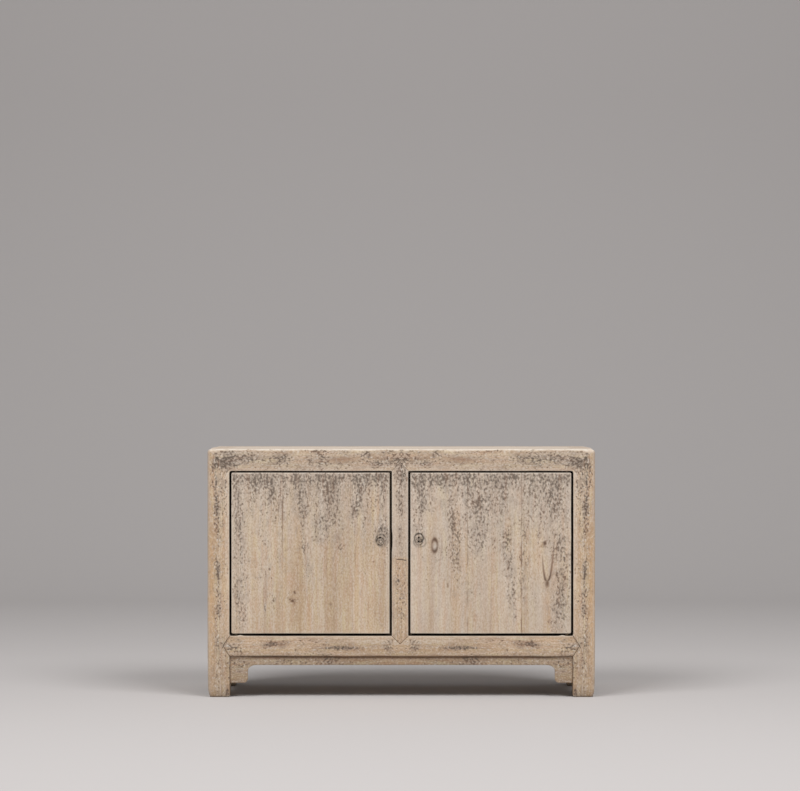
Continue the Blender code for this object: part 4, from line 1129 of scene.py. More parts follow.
def make_top_rail(side, sizes):
    """A rail of the top frame, mitred to the posts below it and to the next rails."""
    axes, half, outer, hand = rail_lines(side)
    low = np.array((TOP_RAIL_BOTTOM, min(hand * outer, hand * (outer - POST))))
    high = low + POST
    exact = notch_ends(STILE_MIDDLE, STILE_HALF, STILE_POINT, CLOSE_GAP) if side == "front" else ()
    reach_out = half - POST / 2
    crowded = [*RAIL_STRETCHES, (-reach_out, MITRE_REACH, MITRE_STEP), (reach_out, MITRE_REACH, MITRE_STEP)]
    places = stations(-reach_out, reach_out, FRAME_STEP, crowded, exact)
    corners = [Corner(sizes.board_arris)] * 4
    corners[CORNER_NUMBER[1, hand]] = Corner()
    under = CORNER_NUMBER[-1, hand]
    corners[under] = Corner(sizes.opening_arris)
    if side == "front":
        reach = grown_notch(places, STILE_MIDDLE, STILE_HALF, STILE_POINT, CLOSE_GAP)
        corners[under] = notched(under, FRONT_FACE, reach, sizes.opening_arris)
    sides = [side_shares(POST, FACE_STEP, CROWD)] * 4

    def mitre(sign):
        def surface(across, deep):
            return sign * (half - np.maximum(outer - np.abs(deep), TOP - across) - CLOSE_GAP / 2)
        return surface

    shape = timber(axes, low, high, places, corners, sides, mitre(-1.0), mitre(1.0),
                   (sizes.mitre_arris, sizes.mitre_arris))
    dress_frame(f"top_{side}_rail", axes, shape, sizes, True, front_patina, post_line, 0.0, greyed=even(0.16))


def make_lower_rail(side, sizes):
    """A lower rail, pointed into the posts except at the back, with a swaying under edge."""
    axes, half_size, outer, hand = rail_lines(side)
    half = half_size - POST - JOINT_GAP
    low = np.array((RAIL_LOW, min(hand * outer, hand * (outer - RAIL_DEPTH))))
    high = np.array((RAIL_HIGH, low[1] + RAIL_DEPTH))
    exact = notch_ends(STILE_MIDDLE, STILE_HALF, STILE_POINT) if side == "front" else ()
    places = stations(-half, half, FRAME_STEP, RAIL_STRETCHES, exact)
    corners = [Corner(sizes.board_arris)] * 4
    corners[CORNER_NUMBER[-1, hand]] = Corner(1.3 * sizes.opening_arris)
    upper = CORNER_NUMBER[1, hand]
    corners[upper] = Corner(sizes.opening_arris)
    if side == "front":
        reach = grown_notch(places, STILE_MIDDLE, STILE_HALF, STILE_POINT)
        corners[upper] = notched(upper, FRONT_FACE, reach, sizes.opening_arris)
    point = (RAIL_MIDDLE, RAIL_HALF, 0.0 if side == "rear" else RAIL_POINT, outer)
    sides = [side_shares(RAIL_DEPTH, FACE_STEP), side_shares(2 * RAIL_HALF, RAIL_FACE_STEP)] * 2
    grid, tips, near_end = timber(axes, low, high, places, corners, sides, pointed_end(-half, -1.0, *point),
                                  pointed_end(half, 1.0, *point), (sizes.joint_arris, sizes.joint_arris))
    under = 1.0 - smooth_step((grid[..., 2] - RAIL_LOW) / 0.03)
    grid[..., 2] += sizes.rail_sway * under * (0.05 + smooth_noise(grid, (0.08, 0.5, 0.5), 17)) * 0.6
    if side == "front":
        bump = line_over(np.abs(grid[..., 0]) - RAIL_BUMP["x"], RAIL_BUMP["half"])
        grid[..., 2] += RAIL_BUMP["rise"] * bump * smooth_step((grid[..., 2] - RAIL_HIGH + 0.02) / 0.02)
    dress_frame(f"lower_{side}_rail", axes, (grid, tips, near_end), sizes, False, front_patina, rail_shadow,
                stains=stains_and_rail_shadow, lighter=even(0.10), greyed=even(-0.22))


def stile_crack(points):
    """A short crack across the stile, level at first and falling away to the right."""
    crack = STILE_CRACK
    share = (points[:, 0] - crack["x"]) / crack["half"]
    level = crack["z"] - crack["fall"] * np.clip(0.5 * share + 0.35, 0.0, None) ** 1.6
    ends = smooth_step((1.05 - np.abs(share)) / 0.25)
    return 0.95 * line_over(points[:, 2] - level, crack["line"]) * ends


def stile_patina(points):
    """Patina of the stile between the doors."""
    return patches_over(points, STILE_PATINA)


def stile_grey(points):
    """The stile is bleached above its crack."""
    return 0.85 * smooth_step((points[:, 2] - STILE_CRACK["z"]) / 0.01)


def make_center_stile(sizes):
    """The stile between the doors, pointed into the rails above and below, with a crack across it."""
    low = np.array((OPENINGS[0][1], -HALF_Y))
    high = np.array((OPENINGS[1][0], -HALF_Y + STILE_DEPTH))
    bottom = RAIL_HIGH + JOINT_GAP
    top = TOP_RAIL_BOTTOM - CLOSE_GAP
    crack = STILE_CRACK["z"] - STILE_CRACK["fall"] / 2
    crowded = [(level, CORNER_REACH, CORNER_STEP) for level in (bottom, top)]
    places = stations(bottom, top, FRAME_STEP, [(crack, CRACK_REACH, CRACK_STEP), *crowded])
    corners = [Corner(sizes.opening_arris)] * 2 + [Corner(sizes.board_arris)] * 2
    sides = [side_shares(2 * STILE_HALF, STILE_FACE_STEP), side_shares(STILE_DEPTH, FACE_STEP)] * 2
    point = (STILE_MIDDLE, STILE_HALF, STILE_POINT, HALF_Y)
    grid, tips, near_end = timber(UPRIGHT, low, high, places, corners, sides,
                                  pointed_end(bottom, -1.0, *point), pointed_end(top, 1.0, *point),
                                  (sizes.joint_arris, sizes.mitre_arris))
    # The upper joint is shut, so its points count as far from an end and gather no dirt
    heights = np.append(grid[..., 2].ravel(), tips[:, 2])
    near_end[heights > STILE_HOLLOW["z"]] += END_RAMP
    hollow = smooth_step(1.5 - 1.5 * np.abs(grid[..., 2] - STILE_HOLLOW["z"]) / STILE_HOLLOW["half"])
    left_side = 1.0 - smooth_step((grid[..., 0] - STILE_LEFT) / 0.012)
    grid[..., 0] += STILE_HOLLOW["depth"] * hollow * left_side
    dress_frame("center_stile", UPRIGHT, (grid, tips, near_end), sizes, False, stile_patina, stile_crack, 0.4,
                lighter=even(0.08), greyed=stile_grey)


def make_rear_stile(sizes):
    """A plain stile in the middle of the back."""
    low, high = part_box("rear_stile")
    places = stations(RAIL_HIGH + JOINT_GAP, TOP_RAIL_BOTTOM - JOINT_GAP, PLAIN_STEP)
    section = (np.array((low.x, low.y)), np.array((high.x, high.y)))
    sides = [side_shares(high.x - low.x, FACE_STEP), side_shares(high.y - low.y, FACE_STEP)] * 2
    shape = timber(UPRIGHT, *section, places, [Corner(sizes.opening_arris)] * 4, sides)
    dress_frame("rear_stile", UPRIGHT, shape, sizes)


def apron_edge(half):
    """Half of an apron's lower edge from the post to the middle: foot, toe, bracket, cove and straight.

    The toe and the cove are quarter circles, and the rest is stepped evenly.
    """
    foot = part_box("front_apron")[0].z
    lower = RAIL_LOW - APRON_HEIGHT
    bracket = half - APRON_END_WIDTH
    turn = np.linspace(0.0, math.pi / 2, ARC_POINTS)
    sole = np.linspace(half, bracket + APRON_TOE, ARC_POINTS)[:-1]
    toe = np.column_stack((bracket + APRON_TOE * (1.0 - np.sin(turn)),
                           foot + APRON_TOE * (1.0 - np.cos(turn))))
    side = np.linspace(foot + APRON_TOE, lower - APRON_COVE_RISE, BRACKET_POINTS)[1:-1]
    cove = np.column_stack((bracket - APRON_COVE * (1.0 - np.cos(turn)),
                            lower - APRON_COVE_RISE * (1.0 - np.sin(turn))))
    level = stations(0.0, bracket - APRON_COVE, FRAME_STEP)[::-1][1:]
    return np.concatenate((np.column_stack((sole, np.full(len(sole), foot))), toe,
                           np.column_stack((np.full(len(side), bracket), side)), cove,
                           np.column_stack((level, np.full(len(level), lower)))))


def apron_section(thick):
    """An apron's section: how far down each point lies as a share, how far it is lifted, and how deep it is.

    It runs down the front, round the lower arris, across and up the back.
    """
    steps = np.linspace(0.0, 1.0, APRON_STEPS)
    turn = np.linspace(0.0, math.pi / 2, ROUND_STEPS + 1)[1:]
    falling = APRON_ROUND * (1.0 - np.sin(turn))
    rising = APRON_ROUND * (1.0 - np.cos(turn))
    upright = np.full(len(steps), APRON_ROUND)
    drop = np.concatenate((steps, np.ones(2 * len(turn) + 2), steps[::-1]))
    lift = np.concatenate((upright, falling, (0.0, 0.0), rising, upright)) * drop
    depth = np.concatenate((np.zeros(len(steps)), rising, (0.35 * thick, 0.65 * thick), thick - falling,
                            np.full(len(steps), thick)))
    return drop, lift, depth


def make_apron(side, sizes):
    """An apron with bracket ends: a ruled face from its straight top to its shaped lower edge."""
    axes, half_size, _, hand = rail_lines(side)
    half = half_size - POST - APRON_END_GAP
    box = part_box(f"{side}_apron")
    near, far = box[0][axes[2]], box[1][axes[2]]
    if hand > 0:
        near, far = far, near
    right = apron_edge(half)
    lower = np.concatenate((right, (right * (-1.0, 1.0))[-2::-1]))
    arch = half - APRON_END_WIDTH - APRON_COVE
    shaped = right[:, 0] >= arch - DOUBLES
    above = np.where(shaped, np.linspace(half, arch, shaped.sum())[np.cumsum(shaped) - 1], right[:, 0])
    above = np.concatenate((above, -above[-2::-1]))
    upper = np.column_stack((above, np.full(len(above), RAIL_LOW - JOINT_GAP)))

    drop, lift, depth = apron_section(abs(far - near))
    flat = upper[:, None, :] + (lower - upper)[:, None, :] * drop[None, :, None]
    grid = np.empty((*flat.shape[:2], 3))
    grid[..., axes[0]] = flat[..., 0]
    grid[..., axes[1]] = flat[..., 1] + lift[None, :]
    grid[..., axes[2]] = near + np.sign(far - near) * depth[None, :]
    tips = grid[(0, -1), :, :].mean(axis=1)
    near_end = np.append((half - np.abs(grid[..., axes[0]])).ravel(), (0.0, 0.0))
    # The aprons' lightness of -1.0 is painted shade under the lower rail.
    dress_frame(f"{side}_apron", axes, (grid, tips, near_end), sizes, False, front_patina, rail_shadow,
                stains=stains_and_rail_shadow, lighter=even(-1.0), greyed=even(-0.45))


def door_edges(door):
    """Lowest and highest corner of a door's three planks together, less what use has taken off them."""
    boxes = [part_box(f"{door}_{plank}_board") for plank in ("pivot", "middle", "meeting")]
    left, right = DOOR_WEAR[door]
    low = np.min([tuple(box[0]) for box in boxes], axis=0) + (left, 0.0, DOOR_FOOT_WEAR)
    high = np.max([tuple(box[1]) for box in boxes], axis=0) - (right, 0.0, DOOR_TOP_WEAR)
    return low, high


def pull_rings(points):
    """Broken rings that the lost pulls rubbed into the wood."""
    rings = blank(points)
    wobble = 0.0011 * smooth_noise(points, 0.009, 81)
    broken = 0.95 + 0.40 * smooth_noise(points, 0.008, 82)
    for ring in PULL_RINGS:
        apart = (oval_distance(points, ring) - 1.0) * min(ring.half_width, ring.half_height) + wobble
        rings = np.maximum(rings, ring.strength * line_over(apart, RING_WIDTH))
    return np.clip(rings * broken, 0.0, 1.0)


def sunk_disc(points, x, z, radius, depth, edge):
    """How far the face sinks in a round hole with a soft rim."""
    reach = np.hypot(points[:, 0] - x, points[:, 2] - z)
    return depth * (1.0 - smooth_step((reach - radius) / edge + 0.5))


def door_dents(points, front):
    """How far the face sinks at pull rings, pin holes and the plug's seat."""
    sunk = RING_DEPTH * pull_rings(points)
    for x, z in PULL_HOLES:
        sunk = np.maximum(sunk, sunk_disc(points, x, z, PULL_HOLE_RADIUS, PULL_HOLE_DEPTH, 0.0007))
    low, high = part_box(PLUG_NODE)
    middle = (low + high) / 2
    seat = (high.x - low.x) / 2 + PLUG_GAP
    sunk = np.maximum(sunk, sunk_disc(points, middle.x, middle.z, seat, PLUG_SEAT, 0.0006))
    return sunk * smooth_step((front + 0.002 - points[:, 1]) / 0.001)


def pull_dirt(points):
    """Dirt in the rings and pin holes of the pulls."""
    dirt = 0.86 * pull_rings(points)
    for x, z in PULL_HOLES:
        dirt = np.maximum(dirt, line_over(np.hypot(points[:, 0] - x, points[:, 2] - z), 0.0034))
    return dirt


def door_patina(points, door, top):
    """Patina of a door: columns that hang from its top, patches, and sparse specks, most of them high up."""
    hanging = streaks_from_top(points, top, 0.050, 41 + seed_of(door))
    upper = 0.15 + 0.85 * smooth_step((points[:, 2] - 0.26) / 0.40)
    sparse = (0.26 + 0.30 * cloudy(points, (0.03, 0.03, 0.09), 47, 0.40, 0.85)) * upper
    patches = patches_over(points, DOOR_PATINA[door])
    return 1.0 - (1.0 - 0.76 * hanging) * (1.0 - 0.86 * patches) * (1.0 - sparse)


def seams_over(points, door, joints, seed):
    """Joints between planks as broken brown lines, each with a darkness of its own and fading low down.

    A joint is given as its place and its number from the left.
    """
    broken = smooth_step(0.45 + 1.1 * smooth_noise(points * (0.0, 0.0, 1.0), 0.040, seed))
    seams = blank(points)
    for place, joint in joints:
        dark, foot = SEAMS[door][joint]
        kept = 0.15 + 0.85 * smooth_step((points[:, 2] - foot + 0.06) / 0.06)
        seams = np.maximum(seams, dark * kept * broken * line_over(points[:, 0] - place, 0.0016))
    return seams


def plank_sides(low, high, left, right):
    """Steps across a plank's four sides, and the stretch along it that is stepped finely round a pull."""
    face = high.x - low.x - left - right
    extra = ()
    crowded = ()
    pulls = [hole for hole in PULL_HOLES if low.x < hole[0] < high.x]
    if pulls:
        middle = pulls[0][0]
        field = np.arange(middle - PULL_REACH, middle + PULL_REACH, FINE_STEP)
        inside = field[(field > low.x + left + FINE_STEP) & (field < high.x - right - FINE_STEP)]
        extra = (inside - low.x - left) / face
        crowded = ((np.mean([z for _, z in PULL_HOLES]), PULL_REACH, FINE_STEP),)
    front = side_shares(face, DOOR_STEP, extra=extra)
    edge = side_shares(high.y - low.y, DOOR_EDGE_STEP)
    back = side_shares(high.x - low.x, 2 * PLAIN_STEP)
    return [front, edge, back, edge], crowded


def make_plank(door, plank, sizes):
    """One upright plank of a door: worn where it meets the frame, close-jointed to its neighbours."""
    node = f"{door}_{plank}_board"
    low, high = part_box(node)
    door_low, door_high = door_edges(door)
    at_left = low.x < door_low[0]
    at_right = high.x > door_high[0]
    low.x = door_low[0] if at_left else low.x - PLANK_GAP / 2
    high.x = door_high[0] if at_right else high.x + PLANK_GAP / 2
    low.z = door_low[2]
    high.z = door_high[2]
    left = sizes.door_arris if at_left else sizes.plank_arris
    right = sizes.door_arris if at_right else sizes.plank_arris
    sides, crowded = plank_sides(low, high, left, right)
    places = stations(low.z + sizes.door_arris, high.z - sizes.door_arris, DOOR_STEP, crowded)
    corners = [Corner(left), Corner(right), Corner(right), Corner(left)]
    section = (np.array((low.x, low.y)), np.array((high.x, high.y)))
    grid, tips, _ = timber(UPRIGHT, *section, places, corners, sides, flat_end(low.z), flat_end(high.z),
                           (sizes.door_arris, sizes.door_arris))

    still = np.concatenate((grid.reshape(-1, 3), tips))
    number = seed_of(node)
    points = round_corners(still, door_low[0], door_high[0], door_low[2], door_high[2], DOOR_CORNER)
    points = ripple(points, sizes.ripple, seed_of(door))
    share = (still[:, 0] - low.x) / (high.x - low.x)
    cup = PLANK_CUP * np.random.default_rng(number).uniform(-1.0, 1.0)
    points[:, 1] += cup * (1.0 - (2.0 * share - 1.0) ** 2) + door_dents(still, low.y)
    faces = closed_faces(points, *grid.shape[:2])

    front = smooth_step((low.y + 0.006 - still[:, 1]) / 0.004)
    rim = np.minimum.reduce((still[:, 0] - door_low[0], door_high[0] - still[:, 0], still[:, 2] - door_low[2],
                             door_high[2] - still[:, 2]))
    rim = np.clip(rim, 0.0, None)
    heart = 0.9 * line_over(oval_distance(still, KNOT_HEART), 1.0)
    rubbed = np.maximum(0.85 * np.exp(-rim / 0.0032), heart)
    density = door_patina(still, door, door_high[2]) * (1.0 - 0.9 * rubbed) * (0.25 + 0.75 * front)
    edges = ((low.x, 1 if at_right else 0), (high.x, 0 if at_left else 1))
    joints = [edge for edge in edges if door_low[0] < edge[0] < door_high[0]]
    seams = seams_over(still, door, joints, number)
    figure = cathedral_lines(still)
    knots = knots_over(still)
    low_down = 1.0 - smooth_step((still[:, 2] - CATHEDRAL["tip"] - 0.005) / 0.03)
    drawn = np.maximum.reduce((pull_dirt(still), 0.16 * seams, (0.24 + 0.36 * low_down) * figure,
                               0.52 * knots * knots))
    # Dirt of the marks on the face, and painted shade on the door's edges inside its gap.
    dirt = np.maximum(front * drawn, 0.97 * np.exp(-rim / 0.0012) * painted_gap_shade(still[:, 1] - low.y))
    stains = front * np.maximum.reduce((knots, figure, 0.95 * seams))
    base, streaks, lightness = DOOR_LOOKS[door]
    grey = np.clip(1.2 * density + 0.25 * smooth_step((still[:, 2] - 0.40) / 0.25), 0.0, 1.0)
    grey = grey + base + streaks * along_grain(still, UPRIGHT[0], 0.015, number)
    grey = grey - 0.75 * patches_over(still, HONEY)
    tones = np.full(len(points), piece_tone(node, 0.08) + lightness)
    add_piece(node, points, faces, UPRIGHT, *DOOR_PINE, (density, stains, dirt), (rubbed, tones, grey))


def make_board(node, axes, low, high, wood, sizes, patina=blank, step=PLAIN_STEP, start=None, end=None,
               extra=(), greyed=0.0, bleached=0.0, grime=blank):
    """A plain board with eased arrises between two corners, with the given axes along, across and into it.

    Its ends are flat unless start and end give a surface, and extra gives places across it that need a step.
    """
    along, across, deep = axes
    wide = high[across] - low[across]
    thick = high[deep] - low[deep]
    arris = min(sizes.board_arris, 0.3 * min(wide, thick))
    places = stations(low[along] + arris, high[along] - arris, step)
    face = wide - 2 * arris
    shares = (np.array(extra) - low[across] - arris) / face
    edge = side_shares(thick, step)
    sides = [side_shares(face, step, extra=shares), edge, side_shares(face, step, extra=1.0 - shares), edge]
    grid, tips, _ = timber(axes, (low[across], low[deep]), (high[across], high[deep]), places,
                           [Corner(arris)] * 4, sides, start or flat_end(low[along]),
                           end or flat_end(high[along]), (arris, arris))
    still = np.concatenate((grid.reshape(-1, 3), tips))
    points = ripple(still, 0.7 * sizes.ripple, seed_of(node))
    faces = closed_faces(points, *grid.shape[:2])
    from_edge = np.minimum(still[:, across] - low[across], high[across] - still[:, across])
    from_edge = np.clip(from_edge, 0.0, None)
    rubbed = np.maximum(bleached, 0.5 * np.exp(-from_edge / 0.003))
    # Dark edges where boards meet, and what grime gives: on the door stops, painted shade.
    dirt = np.maximum(0.45 * np.exp(-from_edge / 0.0011), grime(still))
    density = patina(still)
    tones = np.full(len(points), piece_tone(node))
    grey = np.clip(1.1 * density, 0.0, 1.0) + greyed
    add_piece(node, points, faces, axes, *wood, (density, blank(points), dirt), (rubbed, tones, grey))


def make_round(node, axis, finish=HARDWOOD[0], lighter=0.0, greyed=0.0):
    """A turned pin or plug: a circle carried along its axis, drawn in by a round at both ends."""
    low, high = (np.array(corner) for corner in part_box(node))
    middle = (low + high) / 2.0
    others = [other for other in range(3) if other != axis]
    first, second = others
    radius = (high - low)[first] / 2.0
    turn = np.linspace(0.0, math.pi / 2, ROUND_STEPS + 1)
    from_end = 0.25 * radius * (1.0 - np.sin(turn))
    inset = 0.25 * radius * (1.0 - np.cos(turn))
    places = np.concatenate((low[axis] + from_end[::-1], high[axis] - from_end))
    reach = radius - np.concatenate((inset[::-1], inset))
    angle = np.linspace(0.0, 2.0 * math.pi, ROUND_SIDES, endpoint=False)
    grid = np.empty((len(places), len(angle), 3))
    grid[..., axis] = places[:, None]
    grid[..., first] = middle[first] + reach[:, None] * np.cos(angle)
    grid[..., second] = middle[second] + reach[:, None] * np.sin(angle)
    tips = np.tile(middle, (2, 1))
    tips[:, axis] = (low[axis], high[axis])
    points = np.concatenate((grid.reshape(-1, 3), tips))
    faces = closed_faces(points, *grid.shape[:2])
    away = np.linalg.norm((points - middle)[:, others], axis=1)
    dirt = 0.5 * np.exp(-np.abs(radius - away) / 0.0010)
    tones = np.full(len(points), piece_tone(node) + lighter)
    none = blank(points)
    add_piece(node, points, faces, (axis, *others), finish, HARDWOOD[1], (none, none, dirt),
              (none, tones, none + greyed))


class Value:
    """A number in a node tree that takes part in arithmetic: each operator adds a Math node."""

    def __init__(self, finish, socket):
        self.finish = finish
        self.socket = socket

    def math(self, operation, first, second):
        return self.finish.node("ShaderNodeMath", {"operation": operation}, {0: first, 1: second})

    def __add__(self, other):
        return self.math("ADD", self, other)

    def __sub__(self, other):
        return self.math("SUBTRACT", self, other)

    def __rsub__(self, other):
        return self.math("SUBTRACT", other, self)

    def __mul__(self, other):
        return self.math("MULTIPLY", self, other)

    __radd__ = __add__
    __rmul__ = __mul__


class Finish:
    """A material under construction."""

    def __init__(self, name):
        self.material = bpy.data.materials.new(name)
        self.material.use_nodes = True
        self.tree = self.material.node_tree
        self.shader = self.tree.nodes["Principled BSDF"]

    def node(self, kind, settings, inputs, output=0):
        """Adds a node, makes its settings, then fills its sockets with values or links."""
        node = self.tree.nodes.new(kind)
        for name, value in settings.items():
            setattr(node, name, value)
        for name, value in inputs.items():
            self.fill(node.inputs[name], value)
        return Value(self, node.outputs[output])

    def fill(self, socket, value):
        """Links a socket to a worked-out value, or sets it to a plain one."""
        if isinstance(value, Value):
            self.tree.links.new(value.socket, socket)
        else:
            socket.default_value = value

    def attribute(self, name):
        """The three numbers that the points keep under a name."""
        return self.node("ShaderNodeAttribute", {"attribute_name": name}, {}, "Vector")

    def parts(self, vector):
        """The three numbers of a vector."""
        split = self.tree.nodes.new("ShaderNodeSeparateXYZ")
        self.fill(split.inputs[0], vector)
        return [Value(self, split.outputs[i]) for i in range(3)]

    def noise(self, vector, along, across, detail=2.0, roughness=0.5):
        """Noise with one scale along the grain and another across it."""
        stretch = (along, across, across)
        scaled = self.node("ShaderNodeVectorMath", {"operation": "MULTIPLY"}, {0: vector, 1: stretch})
        return self.node("ShaderNodeTexNoise", {},
                         {"Vector": scaled, "Scale": 1.0, "Detail": detail, "Roughness": roughness}, "Fac")

    def step(self, value, low, high):
        """0 below low, 1 above high, smooth between."""
        return self.node("ShaderNodeMapRange", {"interpolation_type": "SMOOTHSTEP"},
                         {"Value": value, "From Min": low, "From Max": high})

    def held_product(self, first, second):
        """A product held between 0 and 1."""
        settings = {"operation": "MULTIPLY", "use_clamp": True}
        return self.node("ShaderNodeMath", settings, {0: first, 1: second})

    def lighten(self, color, value):
        """A colour made lighter by a value above 1, or darker by one below it."""
        return self.node("ShaderNodeHueSaturation", {}, {"Value": value, "Color": color})

    def mix(self, share, first, second):
        """A colour with a share of a second one in it, where each is worked out or plain."""
        first, second = (color if isinstance(color, Value) else paint(color) for color in (first, second))
        return self.node("ShaderNodeMix", {"data_type": "RGBA"}, {0: share, 6: first, 7: second}, 2)

    def lay(self, color, over, spread, low, high, share):
        """A colour with a share of another laid over it where a spread rises from low to high."""
        return self.mix(self.step(spread, low, high) * share, color, over)


def paint(color):
    """A colour without transparency."""
    return (*color, 1.0)


# Noises of the wood: scale along the grain and across it, then detail and roughness where they differ
WOOD_NOISES = {
    "broad": (0.8, 74.0, 3.0),
    "streak": (2.2, 170.0, 3.0, 0.6),
    "resin": (4.0, 88.0, 1.0),
    "fibre": (24.0, 620.0),
    "thread": (26.0, 330.0),
    "mottle": (150.0, 240.0),
    "fleck": (130.0, 190.0, 1.0),
    "tint": (11.0, 85.0),
    "hue": (2.0, 32.0),
    "band": (0.9, 30.0, 1.0),
    "figure": (1.1, 20.0, 0.0),
    "cloud": (4.0, 13.0),
    "smear": (12.0, 48.0),
    "soil": (22.0, 60.0, 3.0, 0.6),
    "film": (34.0, 60.0, 2.0, 0.6),
}


def bare_wood(finish, wood, tones, body, pale, blush, grey, contrast, grime):
    """Bleached wood: bands, blushes of other hues, growth rings, resin, and grey and warm parts."""
    ragged = wood.broad + (wood.mottle - 0.5) * 0.25 + (wood.streak - 0.5) * 0.20
    color = finish.lay(body, pale, ragged, 0.32, 0.68, 0.85)
    color = finish.lay(color, tones.weathered, grey, 0.0, 1.4, 0.65)
    blushes = ((wood.hue, 0.20, blush, tones.straw), (wood.tint, 0.72, tones.rosy, tones.straw),
               (wood.band, 0.40, tones.weathered, tones.rosy),
               (wood.mottle, 0.62, tones.weathered, tones.rosy))
    for spread, share, over, under in blushes:
        color = finish.lay(color, over, spread, 0.50, 0.72, share)
        color = finish.lay(color, under, 1.0 - spread, 0.50, 0.72, share)
    color = finish.lay(color, tones.tan, wood.streak, 0.46, 0.76, 0.42 * contrast)
    rings = finish.node("ShaderNodeMath", {"operation": "SINE"}, {0: wood.figure * 60.0})
    color = finish.lay(color, tones.tan, rings, 0.55, 1.0, 0.10 + 0.55 * grime)
    color = finish.lay(color, tones.red, wood.resin, 0.66, 0.74, 0.30 * contrast)
    color = finish.lay(color, tones.knot, wood.fibre, 0.55, 0.80, 0.14 * contrast)
    color = finish.lay(color, tones.weathered, grey, 0.0, 1.4, 0.55)
    return finish.lay(color, tones.warm, 0.0 - grey, 0.0, 1.0, 0.80)


def aged_pine(name, tones, body, pale, blush, patina=1.0, contrast=1.0, specks=(110.0, 150.0), grime=0.0):
    """Pine with streaked grain, and with the patina, stains, rubbing and dirt that its points carry.

    Patina shows as specks: a stretched noise is cut at a level that falls where more patina is left. The
    specks' two scales run along and across the grain. Some of the rubbing is painted highlight, and some of
    the dirt and of the stains is painted shade.
    """
    finish = Finish(name)
    grain = finish.attribute("grain")
    left, stain, dirt = finish.parts(finish.attribute("marks"))
    rubbed, shift, grey = finish.parts(finish.attribute("wear"))
    wood = SimpleNamespace(**{kind: finish.noise(grain, *scales) for kind, scales in WOOD_NOISES.items()})
    speck = finish.noise(grain, *specks, 1.5)

    color = bare_wood(finish, wood, tones, body, pale, blush, grey, contrast, grime)
    uneven = (wood.cloud - 0.5) * 0.23 + (wood.band - 0.5) * 0.18 + (wood.mottle - 0.5) * (0.40 + left * 0.42)
    color = finish.lighten(color, 1.0 + shift * 0.20 + uneven * contrast)
    color = finish.lay(color, tones.worn_patina, wood.soil, 0.50, 0.72, grime)
    filmed = finish.held_product(wood.film - 0.63 + left * 0.38, 5.0)
    color = finish.mix(filmed * (0.36 * patina), color, tones.film)
    color = finish.lay(color, tones.rubbed, wood.fleck, 0.58, 0.72, left * 0.90 + 0.7 * grime)
    # The stains include a painted shadow line under the lower rail.
    color = finish.mix(stain * 0.80, color, tones.knot)
    # Rubbed arrises: partly worn bare wood, partly painted highlight.
    color = finish.mix(rubbed * 0.65, color, tones.rubbed)

    texture = speck * 0.62 + wood.thread * 0.10 + wood.smear * 0.28
    covered = finish.held_product(texture - (0.65 - left * 0.31), 9.5 - left * 4.0)
    covered = covered * finish.step(left, 0.01, 0.10) * (0.84 * patina)
    old = finish.mix(finish.step(left, 0.10, 0.75), tones.worn_patina, tones.patina)
    old = finish.lay(old, tones.knot, wood.tint, 0.48, 0.70, 0.35)
    old = finish.lighten(old, 1.0 + (wood.mottle - 0.5) * 0.9)
    color = finish.mix(covered, color, old)
    # Dirt, with painted shade in the gaps, on the stops, under the lower rail and under the feet.
    color = finish.mix(dirt, color, tones.dirt)

    height = wood.streak * 0.5 + wood.fibre * 0.3 + speck * 0.25 + covered * 0.2
    bump = finish.node("ShaderNodeBump", {}, {"Strength": 0.35, "Distance": 0.0009, "Height": height})
    sockets = finish.shader.inputs
    finish.fill(sockets["Base Color"], color)
    finish.fill(sockets["Roughness"], 0.70 + wood.streak * 0.16 + covered * 0.06)
    finish.fill(sockets["Specular IOR Level"], 0.30)
    finish.fill(sockets["Normal"], bump)


class SIDEBOARD_OT_mix_finishes(bpy.types.Operator):
    """Mix the finishes of the frame, the doors, the boards, the inside and the pins"""

    bl_idname = "sideboard.mix_finishes"
    bl_label = "Mix Finishes"

    def execute(self, context):
        tones = context.scene.sideboard_tones
        aged_pine("worn_frame_pine", tones, tones.frame, tones.frame_pale, tones.warm, patina=1.12,
                  contrast=1.45, specks=(125.0, 160.0), grime=0.36)
        aged_pine(DOOR_PINE[0], tones, tones.honey, tones.pale, tones.rosy, contrast=1.35)
        aged_pine(BOARD_PINE[0], tones, tones.honey, tones.pale, tones.rosy, patina=0.9)
        aged_pine(INNER_PINE[0], tones, tones.inside, tones.frame_pale, tones.warm, patina=0.5, contrast=1.2)
        aged_pine(HARDWOOD[0], tones, tones.hardwood, tones.inside, tones.warm, patina=0.5, contrast=1.2)
        return {"FINISHED"}


class SIDEBOARD_OT_dress_posts(bpy.types.Operator):
    """Make the four worn posts"""

    bl_idname = "sideboard.dress_posts"
    bl_label = "Posts"

    def execute(self, context):
        for side in (-1, 1):
            for face in (-1, 1):
                make_post(side, face, context.scene.sideboard_wear)
        return {"FINISHED"}


class SIDEBOARD_OT_dress_rails(bpy.types.Operator):
    """Make the mitred top rails and the pointed lower rails"""

    bl_idname = "sideboard.dress_rails"
    bl_label = "Rails"

    def execute(self, context):
        for side in ("front", "rear", "left", "right"):
            make_top_rail(side, context.scene.sideboard_wear)
            make_lower_rail(side, context.scene.sideboard_wear)
        return {"FINISHED"}


class SIDEBOARD_OT_dress_stiles(bpy.types.Operator):
    """Make the pointed stile between the doors and the plain one at the back"""

    bl_idname = "sideboard.dress_stiles"
    bl_label = "Stiles"

    def execute(self, context):
        make_center_stile(context.scene.sideboard_wear)
        make_rear_stile(context.scene.sideboard_wear)
        return {"FINISHED"}


class SIDEBOARD_OT_dress_aprons(bpy.types.Operator):
    """Make the aprons with bracket ends"""

    bl_idname = "sideboard.dress_aprons"
    bl_label = "Aprons"

    def execute(self, context):
        for side in ("front", "left", "right"):
            make_apron(side, context.scene.sideboard_wear)
        return {"FINISHED"}


